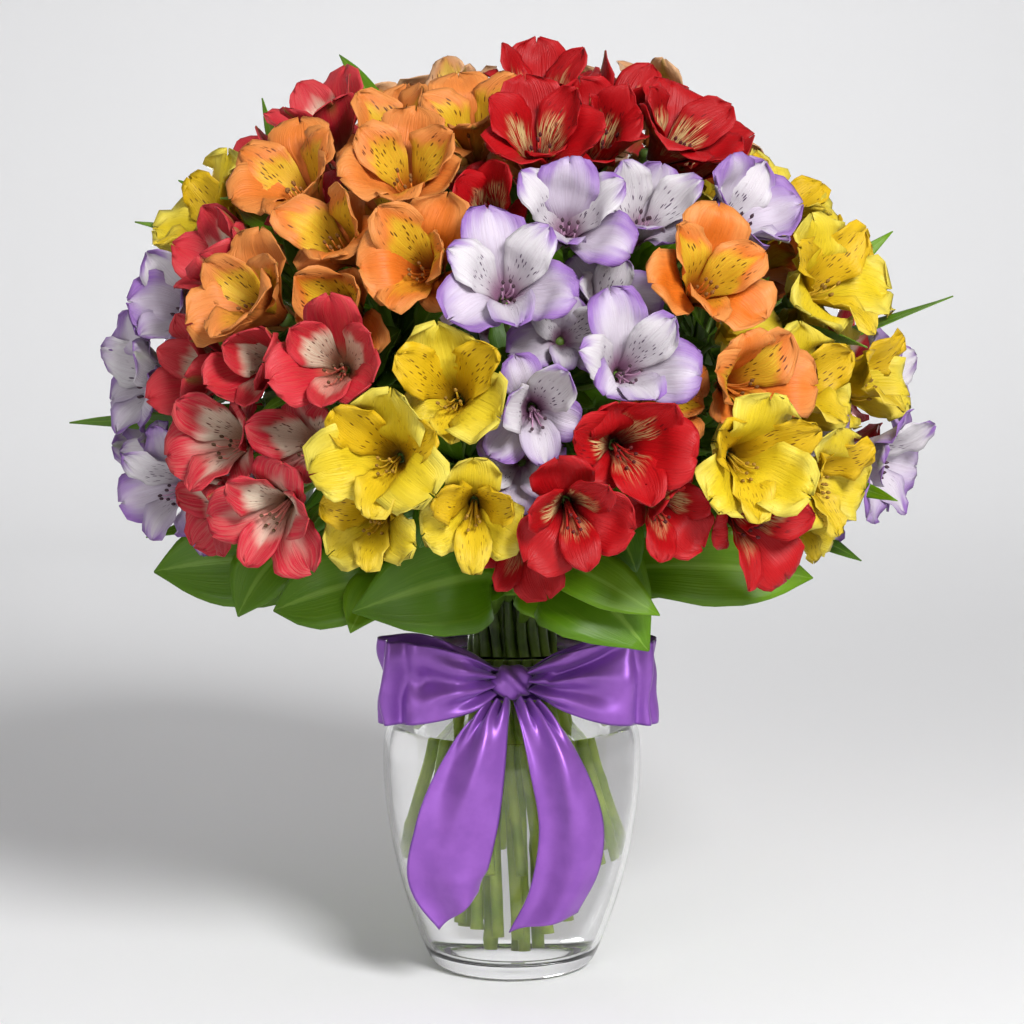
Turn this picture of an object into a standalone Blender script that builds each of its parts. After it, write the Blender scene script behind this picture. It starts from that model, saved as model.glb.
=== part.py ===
"""Mixed bouquet of cut alstroemeria stems in a clear glass vase, tied with a satin ribbon bow.

Metres, +Z up, the bow towards -Y. The origin is the middle of the vase's base.
Directions on the dome of flowers are azimuth (0 at the front, positive to the right) and
elevation above the dome's middle, in degrees.
"""

import math

import bmesh
import bpy
import numpy as np

# The dome that the open flowers fill
DOME_MIDDLE = np.array([0.0, 0.0, 0.241])
DOME_RADIUS = 0.174
LEVELS = (0.0, 0.006, -0.006)
JOSTLE_REACH = 0.056

# One flower: a funnel of six tepals on a thin stalk
FUNNEL_DEPTH = 0.034
THROAT_RADIUS = 0.0042
THROAT_HEIGHT = 0.006
OVARY_RADIUS = 0.0025
STALK_RADIUS = 0.0012
TEPAL_THICKNESS = 0.0013
FLOWER_GAP = 0.0010
# How far below the mouth a flower's room is measured from, and how near a neighbour takes room from it
HEART_DEPTH = 0.010
NEIGHBOUR_REACH = 0.080
# Half a tepal's room sideways, as a share of its distance from the axis
SIXTH = 0.53
DEPTH_STRESS = 2.0
# How much flowers turn to the front, and how far round the dome (along Y) that fades in
FRONT_LEAN = 0.32
LEAN_FADES = (-0.20, 0.45)
# How flowers vary: size, how far their tepals open, turn about their axis in degrees, and tilt
SIZES = (0.94, 1.06)
FLARES = (0.90, 1.06)
ROLL = 25
SWAY = 0.12
# A flower faces between straight out of the dome and along its stalk, by this share of the way
STALK_SHARE = 0.38
# The stalk sinks this far into the knuckle, and runs straight below the flower for this share of its length
STALK_SINK = 0.0015
STALK_STRAIGHT = 0.45

# Stems, from the cut ends in the vase up to the umbels
UMBEL_RADIUS = 0.100
# The knuckle where the stalks meet: distance along its axis and radius
KNUCKLE = [(-0.0042, 0.0028), (0.0, 0.0046), (0.0040, 0.0024)]
STEM_RADIUS = 0.0022
STEM_SIDES = 4
NECK_ROOM = 0.0195
STEM_SPACING = 0.0064
NECK_HEIGHT = 0.143
STEM_TWIST = math.radians(24)
# The feet of the stems: how wide they stand as shares of the neck, and how high, at the middle and outside
FOOT_SPREAD, OUTER_SPREAD = 0.98, 1.15
FOOT_HEIGHT, OUTER_RISE = 0.0105, 0.042
# How far a stem runs straight on through the neck and towards its umbel, as shares of the way between them
NECK_EASE, UMBEL_EASE = 0.35, 0.40
STRAIGHT_END = 0.006
SPREADING_ROUNDS = 400
TOUCHING_GAP = 0.0003

# Blades of leaves
BLADE_THICKNESS = 0.0012
BLADE_CREASE = 0.10
BLADE_ROOT = 0.0011
# How much a blade's root turns its face upwards
ROOT_LIFT = 0.9
PEEKING_GAP = 0.0019
# How far from the dome's middle a peeking leaf passes between the two flowers, and how far below its stem's
# straight end it grows, as a share of the way to the point before
PEEKING_PASS = 0.132
PEEKING_ROOT = 0.3
# How far along a blade its stations are, and how much of the full width they have
BROAD_BLADE = [(0.30, 0.62), (0.52, 1.0), (0.76, 0.80)]
SLIM_BLADE = [(0.40, 0.60), (0.72, 1.0)]

# Vase: radius and height of the outer wall from the foot to the rim
VASE_OUTLINE = [
    (0.0335, 0.0000), (0.0375, 0.0022), (0.0416, 0.0100), (0.0488, 0.0300), (0.0546, 0.0520),
    (0.0586, 0.0760), (0.0599, 0.0980), (0.0578, 0.1130), (0.0480, 0.1275), (0.0405, 0.1370),
    (0.0398, 0.1430), (0.0425, 0.1500),
]
# The first point of the outline that the inner wall follows. It follows every other one from there
INNER_FIRST = 3
GLASS_THICKNESS = 0.0030
# The rounded rim: how far in from the outline's end and how far above it its two points are
LIP = [(0.0004, 0.0011), (0.0022, 0.0010)]
# Radius of the outer wall and height, where the thick floor meets the inner wall
FLOOR_CORNER = [(0.0380, 0.0060), (0.0416, 0.0090)]
VASE_SIDES = 24
WATER_LEVEL = 0.1130

# Ribbon, a wide satin one, tied round the neck
RIBBON_THICKNESS = 0.0010
BAND_BOTTOM, BAND_TOP = 0.1330, 0.1475
KNOT_MIDDLE = (0.0, -0.0486, 0.1415)
KNOT_SIZE = (0.018, 0.013, 0.017)
# Stations of a loop or tail along the ribbon: place of its middle, half its width, and the rise of its width
# from left to right
LOOP_RIGHT = [
    ((0.0088, -0.0510, 0.1420), 0.0060, 0.00), ((0.0220, -0.0600, 0.1430), 0.0130, 0.00),
    ((0.0420, -0.0640, 0.1435), 0.0180, 0.00), ((0.0580, -0.0600, 0.1430), 0.0190, 0.00),
    ((0.0640, -0.0530, 0.1428), 0.0190, 0.00), ((0.0600, -0.0460, 0.1440), 0.0185, 0.00),
    ((0.0440, -0.0420, 0.1460), 0.0165, 0.00), ((0.0240, -0.0450, 0.1460), 0.0100, 0.00),
    ((0.0100, -0.0470, 0.1430), 0.0050, 0.00),
]
LOOP_LEFT = [
    ((-0.0088, -0.0510, 0.1420), 0.0060, 0.00), ((-0.0200, -0.0600, 0.1420), 0.0130, 0.00),
    ((-0.0380, -0.0640, 0.1430), 0.0175, 0.00), ((-0.0530, -0.0600, 0.1430), 0.0190, 0.00),
    ((-0.0585, -0.0530, 0.1430), 0.0190, 0.00), ((-0.0550, -0.0460, 0.1440), 0.0185, 0.00),
    ((-0.0410, -0.0420, 0.1460), 0.0165, 0.00), ((-0.0230, -0.0450, 0.1460), 0.0100, 0.00),
    ((-0.0100, -0.0470, 0.1430), 0.0050, 0.00),
]
TAIL_LEFT = [
    ((-0.0070, -0.0525, 0.1334), 0.0060, 0.15), ((-0.0130, -0.0590, 0.1230), 0.0115, 0.25),
    ((-0.0195, -0.0640, 0.1020), 0.0165, 0.15), ((-0.0245, -0.0660, 0.0800), 0.0186, 0.05),
    ((-0.0285, -0.0655, 0.0570), 0.0180, 0.15), ((-0.0235, -0.0635, 0.0400), 0.0125, 1.00),
]
TAIL_RIGHT = [
    ((0.0070, -0.0520, 0.1336), 0.0060, -0.15), ((0.0140, -0.0590, 0.1230), 0.0106, -0.25),
    ((0.0215, -0.0640, 0.1020), 0.0137, -0.15), ((0.0264, -0.0655, 0.0780), 0.0144, 0.05),
    ((0.0232, -0.0650, 0.0540), 0.0157, 0.25), ((0.0140, -0.0635, 0.0345), 0.0160, 0.30),
]

# Every umbel: its name, its colour, and the direction of each of its flowers
HEADS = [
    ("orange_left", "orange", [(-33, 37), (-49, 45), (-44, 25), (-30, 26)]),
    ("orange_crown", "orange", [(-22, 47), (-15, 32), (-12, 61), (-42, 62)]),
    ("red_crown", "red", [(16, 75), (6, 54), (-6, 44), (26, 58)]),
    ("red_right", "red", [(60, 70), (46, 55), (66, 57)]),
    ("lilac_crown", "lilac", [(10, 40), (28, 43), (50, 41)]),
    ("lilac_middle", "lilac", [(-1, 29), (17, 17), (3, 11)]),
    ("orange_right", "orange", [(32, 29), (37, 14)]),
    ("yellow_right", "yellow", [(62, 28), (73, 42), (72, 12), (84, 29)]),
    ("yellow_low_right", "yellow", [(52, 13), (34, 3), (52, -3)]),
    ("lilac_right", "lilac", [(70, -2), (87, -4), (89, 11)]),
    ("red_low", "red", [(16, 6), (8, -5), (23, -5), (38, -8)]),
    ("yellow_low", "yellow", [(-9, 14), (-17, 5), (-20, -6), (-5, -5)]),
    ("pink_low", "pink", [(-32, 6), (-46, 6), (-34, -6), (-48, -6)]),
    ("coral_left", "coral", [(-25, 17), (-40, 17), (-57, 15), (-57, 32)]),
    ("coral_crown", "coral", [(-82, 49), (-72, 60), (-102, 58)]),
    ("yellow_left", "yellow", [(-75, 38), (-98, 37)]),
    ("lilac_left", "lilac", [(-69, 24), (-86, 24), (-76, 12), (-94, 11)]),
    ("lilac_low_left", "lilac", [(-62, -5), (-79, -3), (-96, -4)]),
    ("pink_back", "pink", [(106, -6), (108, 12), (128, -6), (129, 12)]),
    ("yellow_back", "yellow", [(150, -6), (151, 12), (172, -6), (174, 12)]),
    ("lilac_back", "lilac", [(194, -6), (196, 12), (216, -6), (218, 12)]),
    ("red_back", "red", [(238, -6), (240, 12), (253, 3)]),
    ("orange_back", "orange", [(104, 30), (127, 30), (126, 47), (150, 30)]),
    ("coral_back", "coral", [(154, 47), (174, 30), (182, 47), (197, 30), (210, 47)]),
    ("peach_back", "peach", [(219, 30), (241, 30), (238, 47), (186, 64)]),
    ("peach_crown", "peach", [(102, 64), (142, 64), (100, 82), (-64, 78), (99, 47), (226, 64)]),
]

# Leaves under the flowers: the stem each grows from and how high, its middle and tip, its width, and the
# azimuth and elevation that its face looks towards
SKIRT_LEAVES = [
    ("yellow_low", 0.176, (-0.034, -0.092, 0.192), (-0.069, -0.092, 0.180), 0.042, (-5, 10)),
    ("pink_low", 0.168, (-0.060, -0.074, 0.186), (-0.070, -0.086, 0.170), 0.024, (-15, 20)),
    ("pink_low", 0.186, (-0.082, -0.070, 0.190), (-0.108, -0.066, 0.183), 0.028, (-25, 15)),
    ("coral_left", 0.180, (-0.106, -0.050, 0.198), (-0.122, -0.056, 0.177), 0.024, (-35, 5)),
    ("lilac_low_left", 0.176, (-0.116, -0.024, 0.200), (-0.163, -0.020, 0.188), 0.036, (-25, 10)),
    ("lilac_low_left", 0.192, (-0.110, 0.006, 0.208), (-0.170, 0.004, 0.203), 0.018, (-60, 40)),
    ("red_low", 0.168, (0.038, -0.094, 0.191), (0.059, -0.104, 0.165), 0.048, (5, 10)),
    ("red_low", 0.186, (0.032, -0.108, 0.199), (0.063, -0.116, 0.183), 0.026, (12, 20)),
    ("yellow_low_right", 0.180, (0.088, -0.080, 0.198), (0.132, -0.072, 0.192), 0.036, (25, 12)),
    ("lilac_right", 0.182, (0.110, -0.010, 0.202), (0.162, -0.024, 0.201), 0.018, (40, 30)),
    ("pink_back", 0.172, (0.092, 0.052, 0.198), (0.140, 0.070, 0.186), 0.034, (115, 50)),
    ("pink_back", 0.186, (0.054, 0.088, 0.202), (0.084, 0.132, 0.192), 0.028, (145, 50)),
    ("yellow_back", 0.174, (0.014, 0.098, 0.198), (0.026, 0.150, 0.186), 0.036, (170, 50)),
    ("lilac_back", 0.174, (-0.036, 0.092, 0.198), (-0.050, 0.142, 0.184), 0.034, (205, 50)),
    ("red_back", 0.176, (-0.088, 0.058, 0.198), (-0.128, 0.082, 0.186), 0.032, (240, 50)),
]

# Leaves that come out between two flowers: the direction, how far the tip reaches from the dome's middle,
# the width, and how far the tip bends sideways
PEEKING_LEAVES = [
    ((-89, 68), 0.208, 0.013, 0.004),
    ((-92, 50), 0.202, 0.013, -0.006),
    ((-88, 43), 0.198, 0.014, 0.006),
    ((-86, 31), 0.200, 0.016, 0.004),
    ((-85, 4), 0.202, 0.015, 0.005),
    ((-60, 38), 0.186, 0.013, -0.004),
    ((85, 20), 0.212, 0.014, 0.005),
    ((94, 27), 0.206, 0.013, 0.007),
    ((62, 20), 0.192, 0.018, -0.004),
    ((60, -2), 0.190, 0.010, -0.006),
    ((139, -5), 0.200, 0.015, 0.005),
    ((162, 21), 0.200, 0.014, 0.005),
    ((206, 21), 0.200, 0.014, -0.005),
    ((227, -5), 0.200, 0.015, 0.005),
    ((140, 55), 0.200, 0.013, 0.004),
]

# Colour and roughness of each finish
FINISHES = {
    "glass": ((0.80, 0.86, 0.84), 0.05),
    "water": ((0.75, 0.85, 0.85), 0.05),
    "ribbon": ((0.23, 0.06, 0.43), 0.35),
    "stem": ((0.20, 0.32, 0.06), 0.50),
    "orange": ((0.75, 0.22, 0.02), 0.50),
    "peach": ((0.82, 0.42, 0.14), 0.50),
    "red": ((0.45, 0.01, 0.01), 0.50),
    "coral": ((0.68, 0.10, 0.09), 0.50),
    "pink": ((0.74, 0.16, 0.18), 0.50),
    "lilac": ((0.60, 0.50, 0.68), 0.50),
    "yellow": ((0.78, 0.58, 0.03), 0.50),
}


def unit(vector):
    return vector / np.linalg.norm(vector)


def direction(azimuth, elevation):
    """Unit vector for an azimuth and an elevation in degrees."""
    a, e = math.radians(azimuth), math.radians(elevation)
    return np.array([math.sin(a) * math.cos(e), -math.cos(a) * math.cos(e), math.sin(e)])


def start_clean():
    for old in list(bpy.data.objects):
        bpy.data.objects.remove(old, do_unlink=True)


def finish(name):
    """The material of a finish, made once."""
    found = bpy.data.materials.get(name)
    if found:
        return found
    colour, roughness = FINISHES[name]
    made = bpy.data.materials.new(name)
    made.use_nodes = True
    shader = made.node_tree.nodes["Principled BSDF"]
    shader.inputs["Base Color"].default_value = (*colour, 1.0)
    shader.inputs["Roughness"].default_value = roughness
    shader.inputs["Metallic"].default_value = 0.0
    return made


def add_object(name, points, faces, material):
    mesh = bpy.data.meshes.new(name)
    mesh.from_pydata([tuple(p) for p in points], [], faces)
    bm = bmesh.new()
    bm.from_mesh(mesh)
    bmesh.ops.recalc_face_normals(bm, faces=bm.faces)
    bm.to_mesh(mesh)
    bm.free()
    mesh.materials.append(finish(material))
    mesh.shade_smooth()
    mesh.set_sharp_from_angle(angle=math.radians(40))
    made = bpy.data.objects.new(name, mesh)
    bpy.context.scene.collection.objects.link(made)
    return made


def combine(base, others, operation):
    """Boolean of base with the others, applied. The others are removed."""
    group = bpy.data.collections.new("combined")
    for other in others:
        group.objects.link(other)
    boolean = base.modifiers.new("boolean", "BOOLEAN")
    boolean.operation = operation
    boolean.solver = "EXACT"
    boolean.operand_type = "COLLECTION"
    boolean.collection = group
    bpy.context.view_layer.update()
    evaluated = base.evaluated_get(bpy.context.evaluated_depsgraph_get())
    mesh = bpy.data.meshes.new_from_object(evaluated)
    base.modifiers.clear()
    base.data = mesh
    for other in others:
        bpy.data.objects.remove(other, do_unlink=True)
    bpy.data.collections.remove(group)


def rings_to_faces(rings, sides):
    """Side faces between rings of points that follow one another, with a cap on each end."""
    faces = []
    for ring in range(rings - 1):
        for side in range(sides):
            after = (side + 1) % sides
            low, high = ring * sides, (ring + 1) * sides
            faces.append((low + side, low + after, high + after, high + side))
    faces.append(tuple(range(sides - 1, -1, -1)))
    faces.append(tuple(range((rings - 1) * sides, rings * sides)))
    return faces


def tube_points(path, radii, sides):
    """Rings of points round a path, square to it, turned as little as possible on the way."""
    path = np.asarray(path)
    along = np.gradient(path, axis=0)
    along /= np.linalg.norm(along, axis=1)[:, None]
    across = unit(np.cross(along[0], (0.13, 0.98, 0.11)))
    rings = []
    for point, tangent, radius in zip(path, along, radii):
        across = unit(across - tangent * (across @ tangent))
        other = np.cross(tangent, across)
        for side in range(sides):
            turn = 2 * math.pi * side / sides
            rings.append(point + radius * (math.cos(turn) * across + math.sin(turn) * other))
    return rings


def bezier(start, leave, arrive, end, count):
    """Points along a cubic curve."""
    t = np.linspace(0, 1, count)[:, None]
    return (1 - t) ** 3 * start + 3 * (1 - t) ** 2 * t * leave + 3 * (1 - t) * t**2 * arrive + t**3 * end


# Layout

def lay_out_flowers():
    """One record for each flower: where its mouth is, and which way it faces."""
    draw = np.random.default_rng(7)
    flowers = []
    for head, (_, _, places) in enumerate(HEADS):
        for azimuth, elevation in places:
            flowers.append({"head": head, "out": direction(azimuth, elevation), "azimuth": azimuth})
    for index, flower in enumerate(flowers):
        apart = [np.linalg.norm(f["out"] - flower["out"]) * DOME_RADIUS for f in flowers[:index]]
        near = [f for f, distance in zip(flowers, apart) if distance < JOSTLE_REACH]
        crowding = [sum(abs(level - f["level"]) < 1e-6 for f in near) for level in LEVELS]
        flower["level"] = LEVELS[int(np.argmin(crowding))]
        flower["mouth"] = DOME_MIDDLE + (DOME_RADIUS + flower["level"]) * flower["out"]
        flower["size"] = draw.uniform(*SIZES)
        flower["flare"] = draw.uniform(*FLARES)
        flower["roll"] = math.radians(draw.uniform(-ROLL, ROLL))
        flower["sway"] = draw.uniform(-SWAY, SWAY, 3)
        flower["index"] = index
        flower["leaf_beside"] = set()
    for head in range(len(HEADS)):
        members = [f for f in flowers if f["head"] == head]
        middle = unit(sum(f["out"] for f in members))
        umbel = DOME_MIDDLE + UMBEL_RADIUS * middle
        for flower in members:
            spread = unit(flower["mouth"] - umbel)
            flower["umbel"] = umbel
            flower["umbel_axis"] = middle
            share = np.interp(-flower["out"][1], LEAN_FADES, (0.0, 1.0))
            to_front = share * np.array([0.0, -FRONT_LEAN, 0.0])
            faces = (1 - STALK_SHARE) * flower["out"] + STALK_SHARE * spread
            flower["axis"] = unit(faces + flower["sway"] + to_front)
    return flowers


def heart_of(flower):
    """The point in a flower's throat from which its room is measured."""
    return flower["mouth"] - HEART_DEPTH * flower["axis"]


def dividing_plane(one, other):
    """The plane between two flowers: a point on it and the direction towards the first one. Flowers that
    stand at different depths are parted more by depth than sideways."""
    apart = heart_of(one) - heart_of(other)
    out = unit(one["out"] + other["out"])
    normal = unit(apart + (DEPTH_STRESS - 1) * (apart @ out) * out)
    return (heart_of(one) + heart_of(other)) / 2, normal


def leaves_between(flowers):
    """Where each peeking leaf runs: from the stem of one of the two flowers nearest to its direction, out
    along the plane between them."""
    leaves = []
    for (azimuth, elevation), reach, width, bend in PEEKING_LEAVES:
        out = direction(azimuth, elevation)
        one, other = sorted(flowers, key=lambda f: -(f["out"] @ out))[:2]
        one["leaf_beside"].add(other["index"])
        other["leaf_beside"].add(one["index"])
        point, normal = dividing_plane(one, other)
        places = []
        for distance, sideways in ((PEEKING_PASS, 0.0), (reach, bend)):
            along = np.cross(normal, out)
            place = DOME_MIDDLE + distance * out
            place = place - ((place - point) @ normal) * normal
            places.append(place + sideways * unit(along))
        leaves.append((one["head"], places[0], places[1], width, normal))
    return leaves


def flower_frame(flower):
    """Side, up and axis of a flower, with up turned by the flower's roll."""
    axis = flower["axis"]
    up = np.array([0.0, 0.0, 1.0]) + 0.2 * direction(flower["azimuth"], 0) * (axis[2] > 0.95)
    up = unit(up - axis * (up @ axis))
    side = np.cross(up, axis)
    cos, sin = math.cos(flower["roll"]), math.sin(flower["roll"])
    return side * cos + up * sin, up * cos - side * sin, axis


def room_planes(flower, flowers):
    """Planes between a flower and each neighbour, as (point, normal towards this flower, gap)."""
    planes = []
    for other in flowers:
        if other is flower or np.linalg.norm(heart_of(flower) - heart_of(other)) > NEIGHBOUR_REACH:
            continue
        middle, normal = dividing_plane(flower, other)
        gap = PEEKING_GAP if other["index"] in flower["leaf_beside"] else FLOWER_GAP
        planes.append((middle, normal, gap))
    return planes


def is_in_room(points, planes):
    return all(((points - middle) @ normal).min() >= gap for middle, normal, gap in planes)


# One flower

# Stations along a tepal: distance from the axis, height above the stalk, half width, lift of the edges
BROAD_TEPAL = [
    (0.0130, 0.0205, 0.0080, 0.0014),
    (0.0268, 0.0303, 0.0138, 0.0020),
    (0.0328, 0.0300, 0.0, 0.0),
]
SLIM_TEPAL = [(0.0185, 0.0325, 0.0088, 0.0014), (0.0245, 0.0385, 0.0, 0.0)]
# Ways a crowded tepal gives way, tried in turn: degrees that it closes by, and its share of the full size
GIVES_WAY = [(0, 1.0), (7, 1.0), (14, 1.0)] + [(14, 1.0 - 0.05 * step) for step in range(1, 13)]


def tepal_points(k, flare, closing, share):
    """Stations of tepal k in the flower's frame, each as its right edge, inner and outer middle and left
    edge, and its tip last. A tepal keeps inside its own sixth of the flower, so it never meets the next."""
    turn = math.radians(60 * k + 30)
    out, side = np.array([math.cos(turn), math.sin(turn), 0]), np.array([-math.sin(turn), math.cos(turn), 0])
    upright = np.array([0, 0, 1.0])
    foot = np.array([THROAT_RADIUS * math.cos(math.pi / 6), THROAT_HEIGHT])
    cos, sin = math.cos(math.radians(closing)), math.sin(math.radians(closing))
    points, last = [], foot
    for r, z, half, lift in (BROAD_TEPAL if k % 2 else SLIM_TEPAL):
        r, z = r * flare - foot[0], z - foot[1]
        here = foot + share * np.array([r * cos - z * sin, r * sin + z * cos])
        slope = unit(here - last)
        last = here
        middle = here[0] * out + here[1] * upright
        if half == 0:
            points.append(middle)
            break
        inward = slope[0] * upright - slope[1] * out
        half = min(share * half, SIXTH * (here[0] - share * lift * slope[1]))
        points.extend([
            middle - half * side + share * lift * inward,
            middle + TEPAL_THICKNESS / 2 * inward,
            middle - TEPAL_THICKNESS / 2 * inward,
            middle + half * side + share * lift * inward,
        ])
    return np.array(points)


def tepal_faces(start, count, heart, right, left):
    """Faces of a tepal's two skins, which meet along its edges. The inner skin runs into the heart of the
    throat, and the outer one stops at the notches on either side, where the cup begins."""
    r1, i1, o1, l1 = range(start, start + 4)
    faces = [(heart, right, i1), (heart, i1, left), (right, r1, i1), (left, i1, l1)]
    faces.extend([(right, o1, r1), (left, l1, o1)])
    for station in range(1, count):
        r0, i0, o0, l0 = r1, i1, o1, l1
        r1, i1, o1, l1 = range(start + 4 * station, start + 4 * station + 4)
        faces.extend([(r0, r1, i0), (i0, r1, i1), (l0, i0, l1), (i0, i1, l1)])
        faces.extend([(r0, o0, r1), (o0, o1, r1), (l0, l1, o0), (o0, l1, o1)])
    tip = start + 4 * count
    faces.extend([(r1, i1, tip), (i1, l1, tip), (o1, r1, tip), (l1, o1, tip)])
    return faces


def fitting_tepal(k, flower, planes, to_world):
    """The fullest form of tepal k that keeps to the flower's room."""
    for closing, share in GIVES_WAY:
        points = to_world(tepal_points(k, flower["flare"], closing, share))
        if is_in_room(points, planes):
            break
    return points


def flower_object(flower, flowers, colour):
    """A flower in its place, clear of its neighbours, with its stalk sunk in the umbel."""
    side, up, axis = flower_frame(flower)
    base = flower["mouth"] - FUNNEL_DEPTH * axis

    def to_world(local):
        local = local * flower["size"]
        return base + local[:, :1] * side + local[:, 1:2] * up + local[:, 2:] * axis

    throat = [(0, 0, THROAT_HEIGHT - 0.001)]
    for k in range(6):
        turn = math.radians(60 * k)
        throat.append((THROAT_RADIUS * math.cos(turn), THROAT_RADIUS * math.sin(turn), THROAT_HEIGHT))
    world = to_world(np.array(throat))
    planes = room_planes(flower, flowers)
    notches, lowest, faces = list(range(1, 7)), [], []
    for k in range(6):
        points = fitting_tepal(k, flower, planes, to_world)
        start, count = len(world), (len(points) - 1) // 4
        faces.extend(tepal_faces(start, count, 0, notches[k], notches[(k + 1) % 6]))
        lowest.append(start + 2)
        world = np.vstack([world, points])

    umbel = flower["umbel"]
    root = umbel + STALK_SINK * unit(base - umbel)
    bend = base - STALK_STRAIGHT * np.linalg.norm(base - umbel) * axis
    middle = 0.25 * root + 0.5 * bend + 0.25 * base
    first = len(world)
    stalk = []
    for centre, ahead, radius in (
        (base, axis, OVARY_RADIUS),
        (middle, unit(base - root), STALK_RADIUS),
        (root, unit(middle - root), STALK_RADIUS),
    ):
        across = unit(side - ahead * (side @ ahead))
        other = np.cross(ahead, across)
        for corner in range(3):
            turn = math.radians(60 + 120 * corner)
            stalk.append(centre + radius * (math.cos(turn) * across + math.sin(turn) * other))
    world = np.vstack([world, stalk])
    for corner in range(3):
        here, after = first + corner, first + (corner + 1) % 3
        a, b = 2 * corner, 2 * corner + 1
        c = (a + 2) % 6
        rim = (notches[a], lowest[a], notches[b], lowest[b], notches[c])
        faces.extend([(here, rim[n + 1], rim[n]) for n in range(4)])
        faces.append((here, after, rim[4]))
        for ring in (3, 6):
            low, high = ring, ring - 3
            faces.append((here + low, after + low, after + high, here + high))
    faces.append((first + 6, first + 8, first + 7))
    return add_object("flower", world, faces, colour)


def make_heads(flowers):
    for head, (name, colour, _) in enumerate(HEADS):
        members = [f for f in flowers if f["head"] == head]
        umbel, axis = members[0]["umbel"], members[0]["umbel_axis"]
        path = [umbel + axis * step for step, _ in KNUCKLE]
        skin = tube_points(path, [radius for _, radius in KNUCKLE], STEM_SIDES)
        knuckle = add_object("head_" + name, skin, rings_to_faces(len(KNUCKLE), STEM_SIDES), colour)
        combine(knuckle, [flower_object(f, flowers, colour) for f in members], "UNION")


# Stems and leaves

def neck_places(flowers):
    """Where each stem passes through the neck: under its umbel, pushed apart until none crowds another."""
    axes = [next(f["umbel_axis"] for f in flowers if f["head"] == head) for head in range(len(HEADS))]
    places = np.array([a[:2] * NECK_ROOM for a in axes])
    for _ in range(SPREADING_ROUNDS):
        for i in range(len(places)):
            for j in range(i + 1, len(places)):
                apart = places[i] - places[j]
                distance = np.linalg.norm(apart) + 1e-9
                if distance < STEM_SPACING:
                    push = 0.5 * (STEM_SPACING - distance) * apart / distance
                    places[i] += push
                    places[j] -= push
        reach = np.linalg.norm(places, axis=1)
        places *= np.minimum(1.0, NECK_ROOM / np.maximum(reach, 1e-9))[:, None]
    return places


def stem_path(place, umbel, umbel_axis):
    """Centre line of a stem from its cut end, through the neck, to its umbel. The outer stems lean out and
    end higher."""
    reach = np.linalg.norm(place) / NECK_ROOM
    cos, sin = math.cos(STEM_TWIST), math.sin(STEM_TWIST)
    turned = np.array([place[0] * cos - place[1] * sin, place[0] * sin + place[1] * cos])
    spread = FOOT_SPREAD + OUTER_SPREAD * reach**4
    foot = np.array([*(turned * spread), FOOT_HEIGHT + OUTER_RISE * reach**4])
    neck = np.array([*place, NECK_HEIGHT])
    down = bezier(foot, 0.7 * foot + 0.3 * neck, 0.35 * foot + 0.65 * neck, neck, 4)
    length = np.linalg.norm(umbel - neck)
    leave = neck + NECK_EASE * length * unit(neck - down[-2])
    arrive = umbel - UMBEL_EASE * length * umbel_axis
    end = umbel + (KNUCKLE[0][0] - TOUCHING_GAP) * umbel_axis
    below = end - STRAIGHT_END * umbel_axis
    return np.vstack([down[:-1], bezier(neck, leave, arrive, below, 4), end])


def point_at_height(path, height):
    """The point of a path at a height."""
    return np.array([np.interp(height, path[:, 2], path[:, axis]) for axis in range(3)])


def blade(root, middle, tip, width, face, stations):
    """A leaf as one creased blade on a curve through three points. Its upper skin looks along face."""
    control = 2 * middle - 0.5 * (root + tip)

    def place(t):
        return (1 - t) ** 2 * root + 2 * t * (1 - t) * control + t**2 * tip

    points, faces = [], []
    for t, share in [(0.0, None)] + stations:
        along = unit(place(t + 0.01) - place(t))
        looks = face if share else unit(face + ROOT_LIFT * np.array([0.0, 0.0, 1.0]))
        across = unit(np.cross(along, looks))
        up = np.cross(across, along)
        half = BLADE_ROOT if share is None else 0.5 * width * share
        lift = 0.0 if share is None else BLADE_CREASE * half
        points.extend([
            place(t) - half * across + lift * up,
            place(t) + BLADE_THICKNESS / 2 * up,
            place(t) + half * across + lift * up,
            place(t) - BLADE_THICKNESS / 2 * up,
        ])
    for station in range(len(stations)):
        low, high = 4 * station, 4 * station + 4
        for corner in range(4):
            after = (corner + 1) % 4
            spine, edge = (corner, after) if corner % 2 else (after, corner)
            faces.append((low + corner, low + after, high + edge))
            faces.append((low + spine, high + corner, high + after))
    faces.append((0, 1, 2, 3))
    last = 4 * len(stations)
    points.append(tip)
    faces.extend([(last + corner, last + (corner + 1) % 4, last + 4) for corner in range(4)])
    return add_object("leaf", points, faces, "stem")


def make_stems(paths, leaves):
    """Each stem with its leaves, in one body."""
    for head, path in enumerate(paths):
        name = HEADS[head][0]
        rings = len(path)
        skin = tube_points(path, [STEM_RADIUS] * rings, STEM_SIDES)
        stem = add_object("stem_" + name, skin, rings_to_faces(rings, STEM_SIDES), "stem")
        blades = []
        for grows_from, height, middle, tip, width, looks in SKIRT_LEAVES:
            if grows_from == name:
                root = point_at_height(path, height)
                through, end = np.array(middle), np.array(tip)
                blades.append(blade(root, through, end, width, direction(*looks), BROAD_BLADE))
        for grows_from, middle, tip, width, normal in leaves:
            if grows_from == head:
                root = path[-2] + PEEKING_ROOT * (path[-3] - path[-2])
                blades.append(blade(root, middle, tip, width, normal, SLIM_BLADE))
        if blades:
            combine(stem, blades, "UNION")


# Vase and water

def turned(name, outline, material):
    """A body turned round Z from an outline that starts and ends on flat round faces."""
    rings = []
    for radius, height in outline:
        for side in range(VASE_SIDES):
            turn = 2 * math.pi * side / VASE_SIDES
            rings.append((radius * math.cos(turn), radius * math.sin(turn), height))
    return add_object(name, rings, rings_to_faces(len(outline), VASE_SIDES), material)


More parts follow.
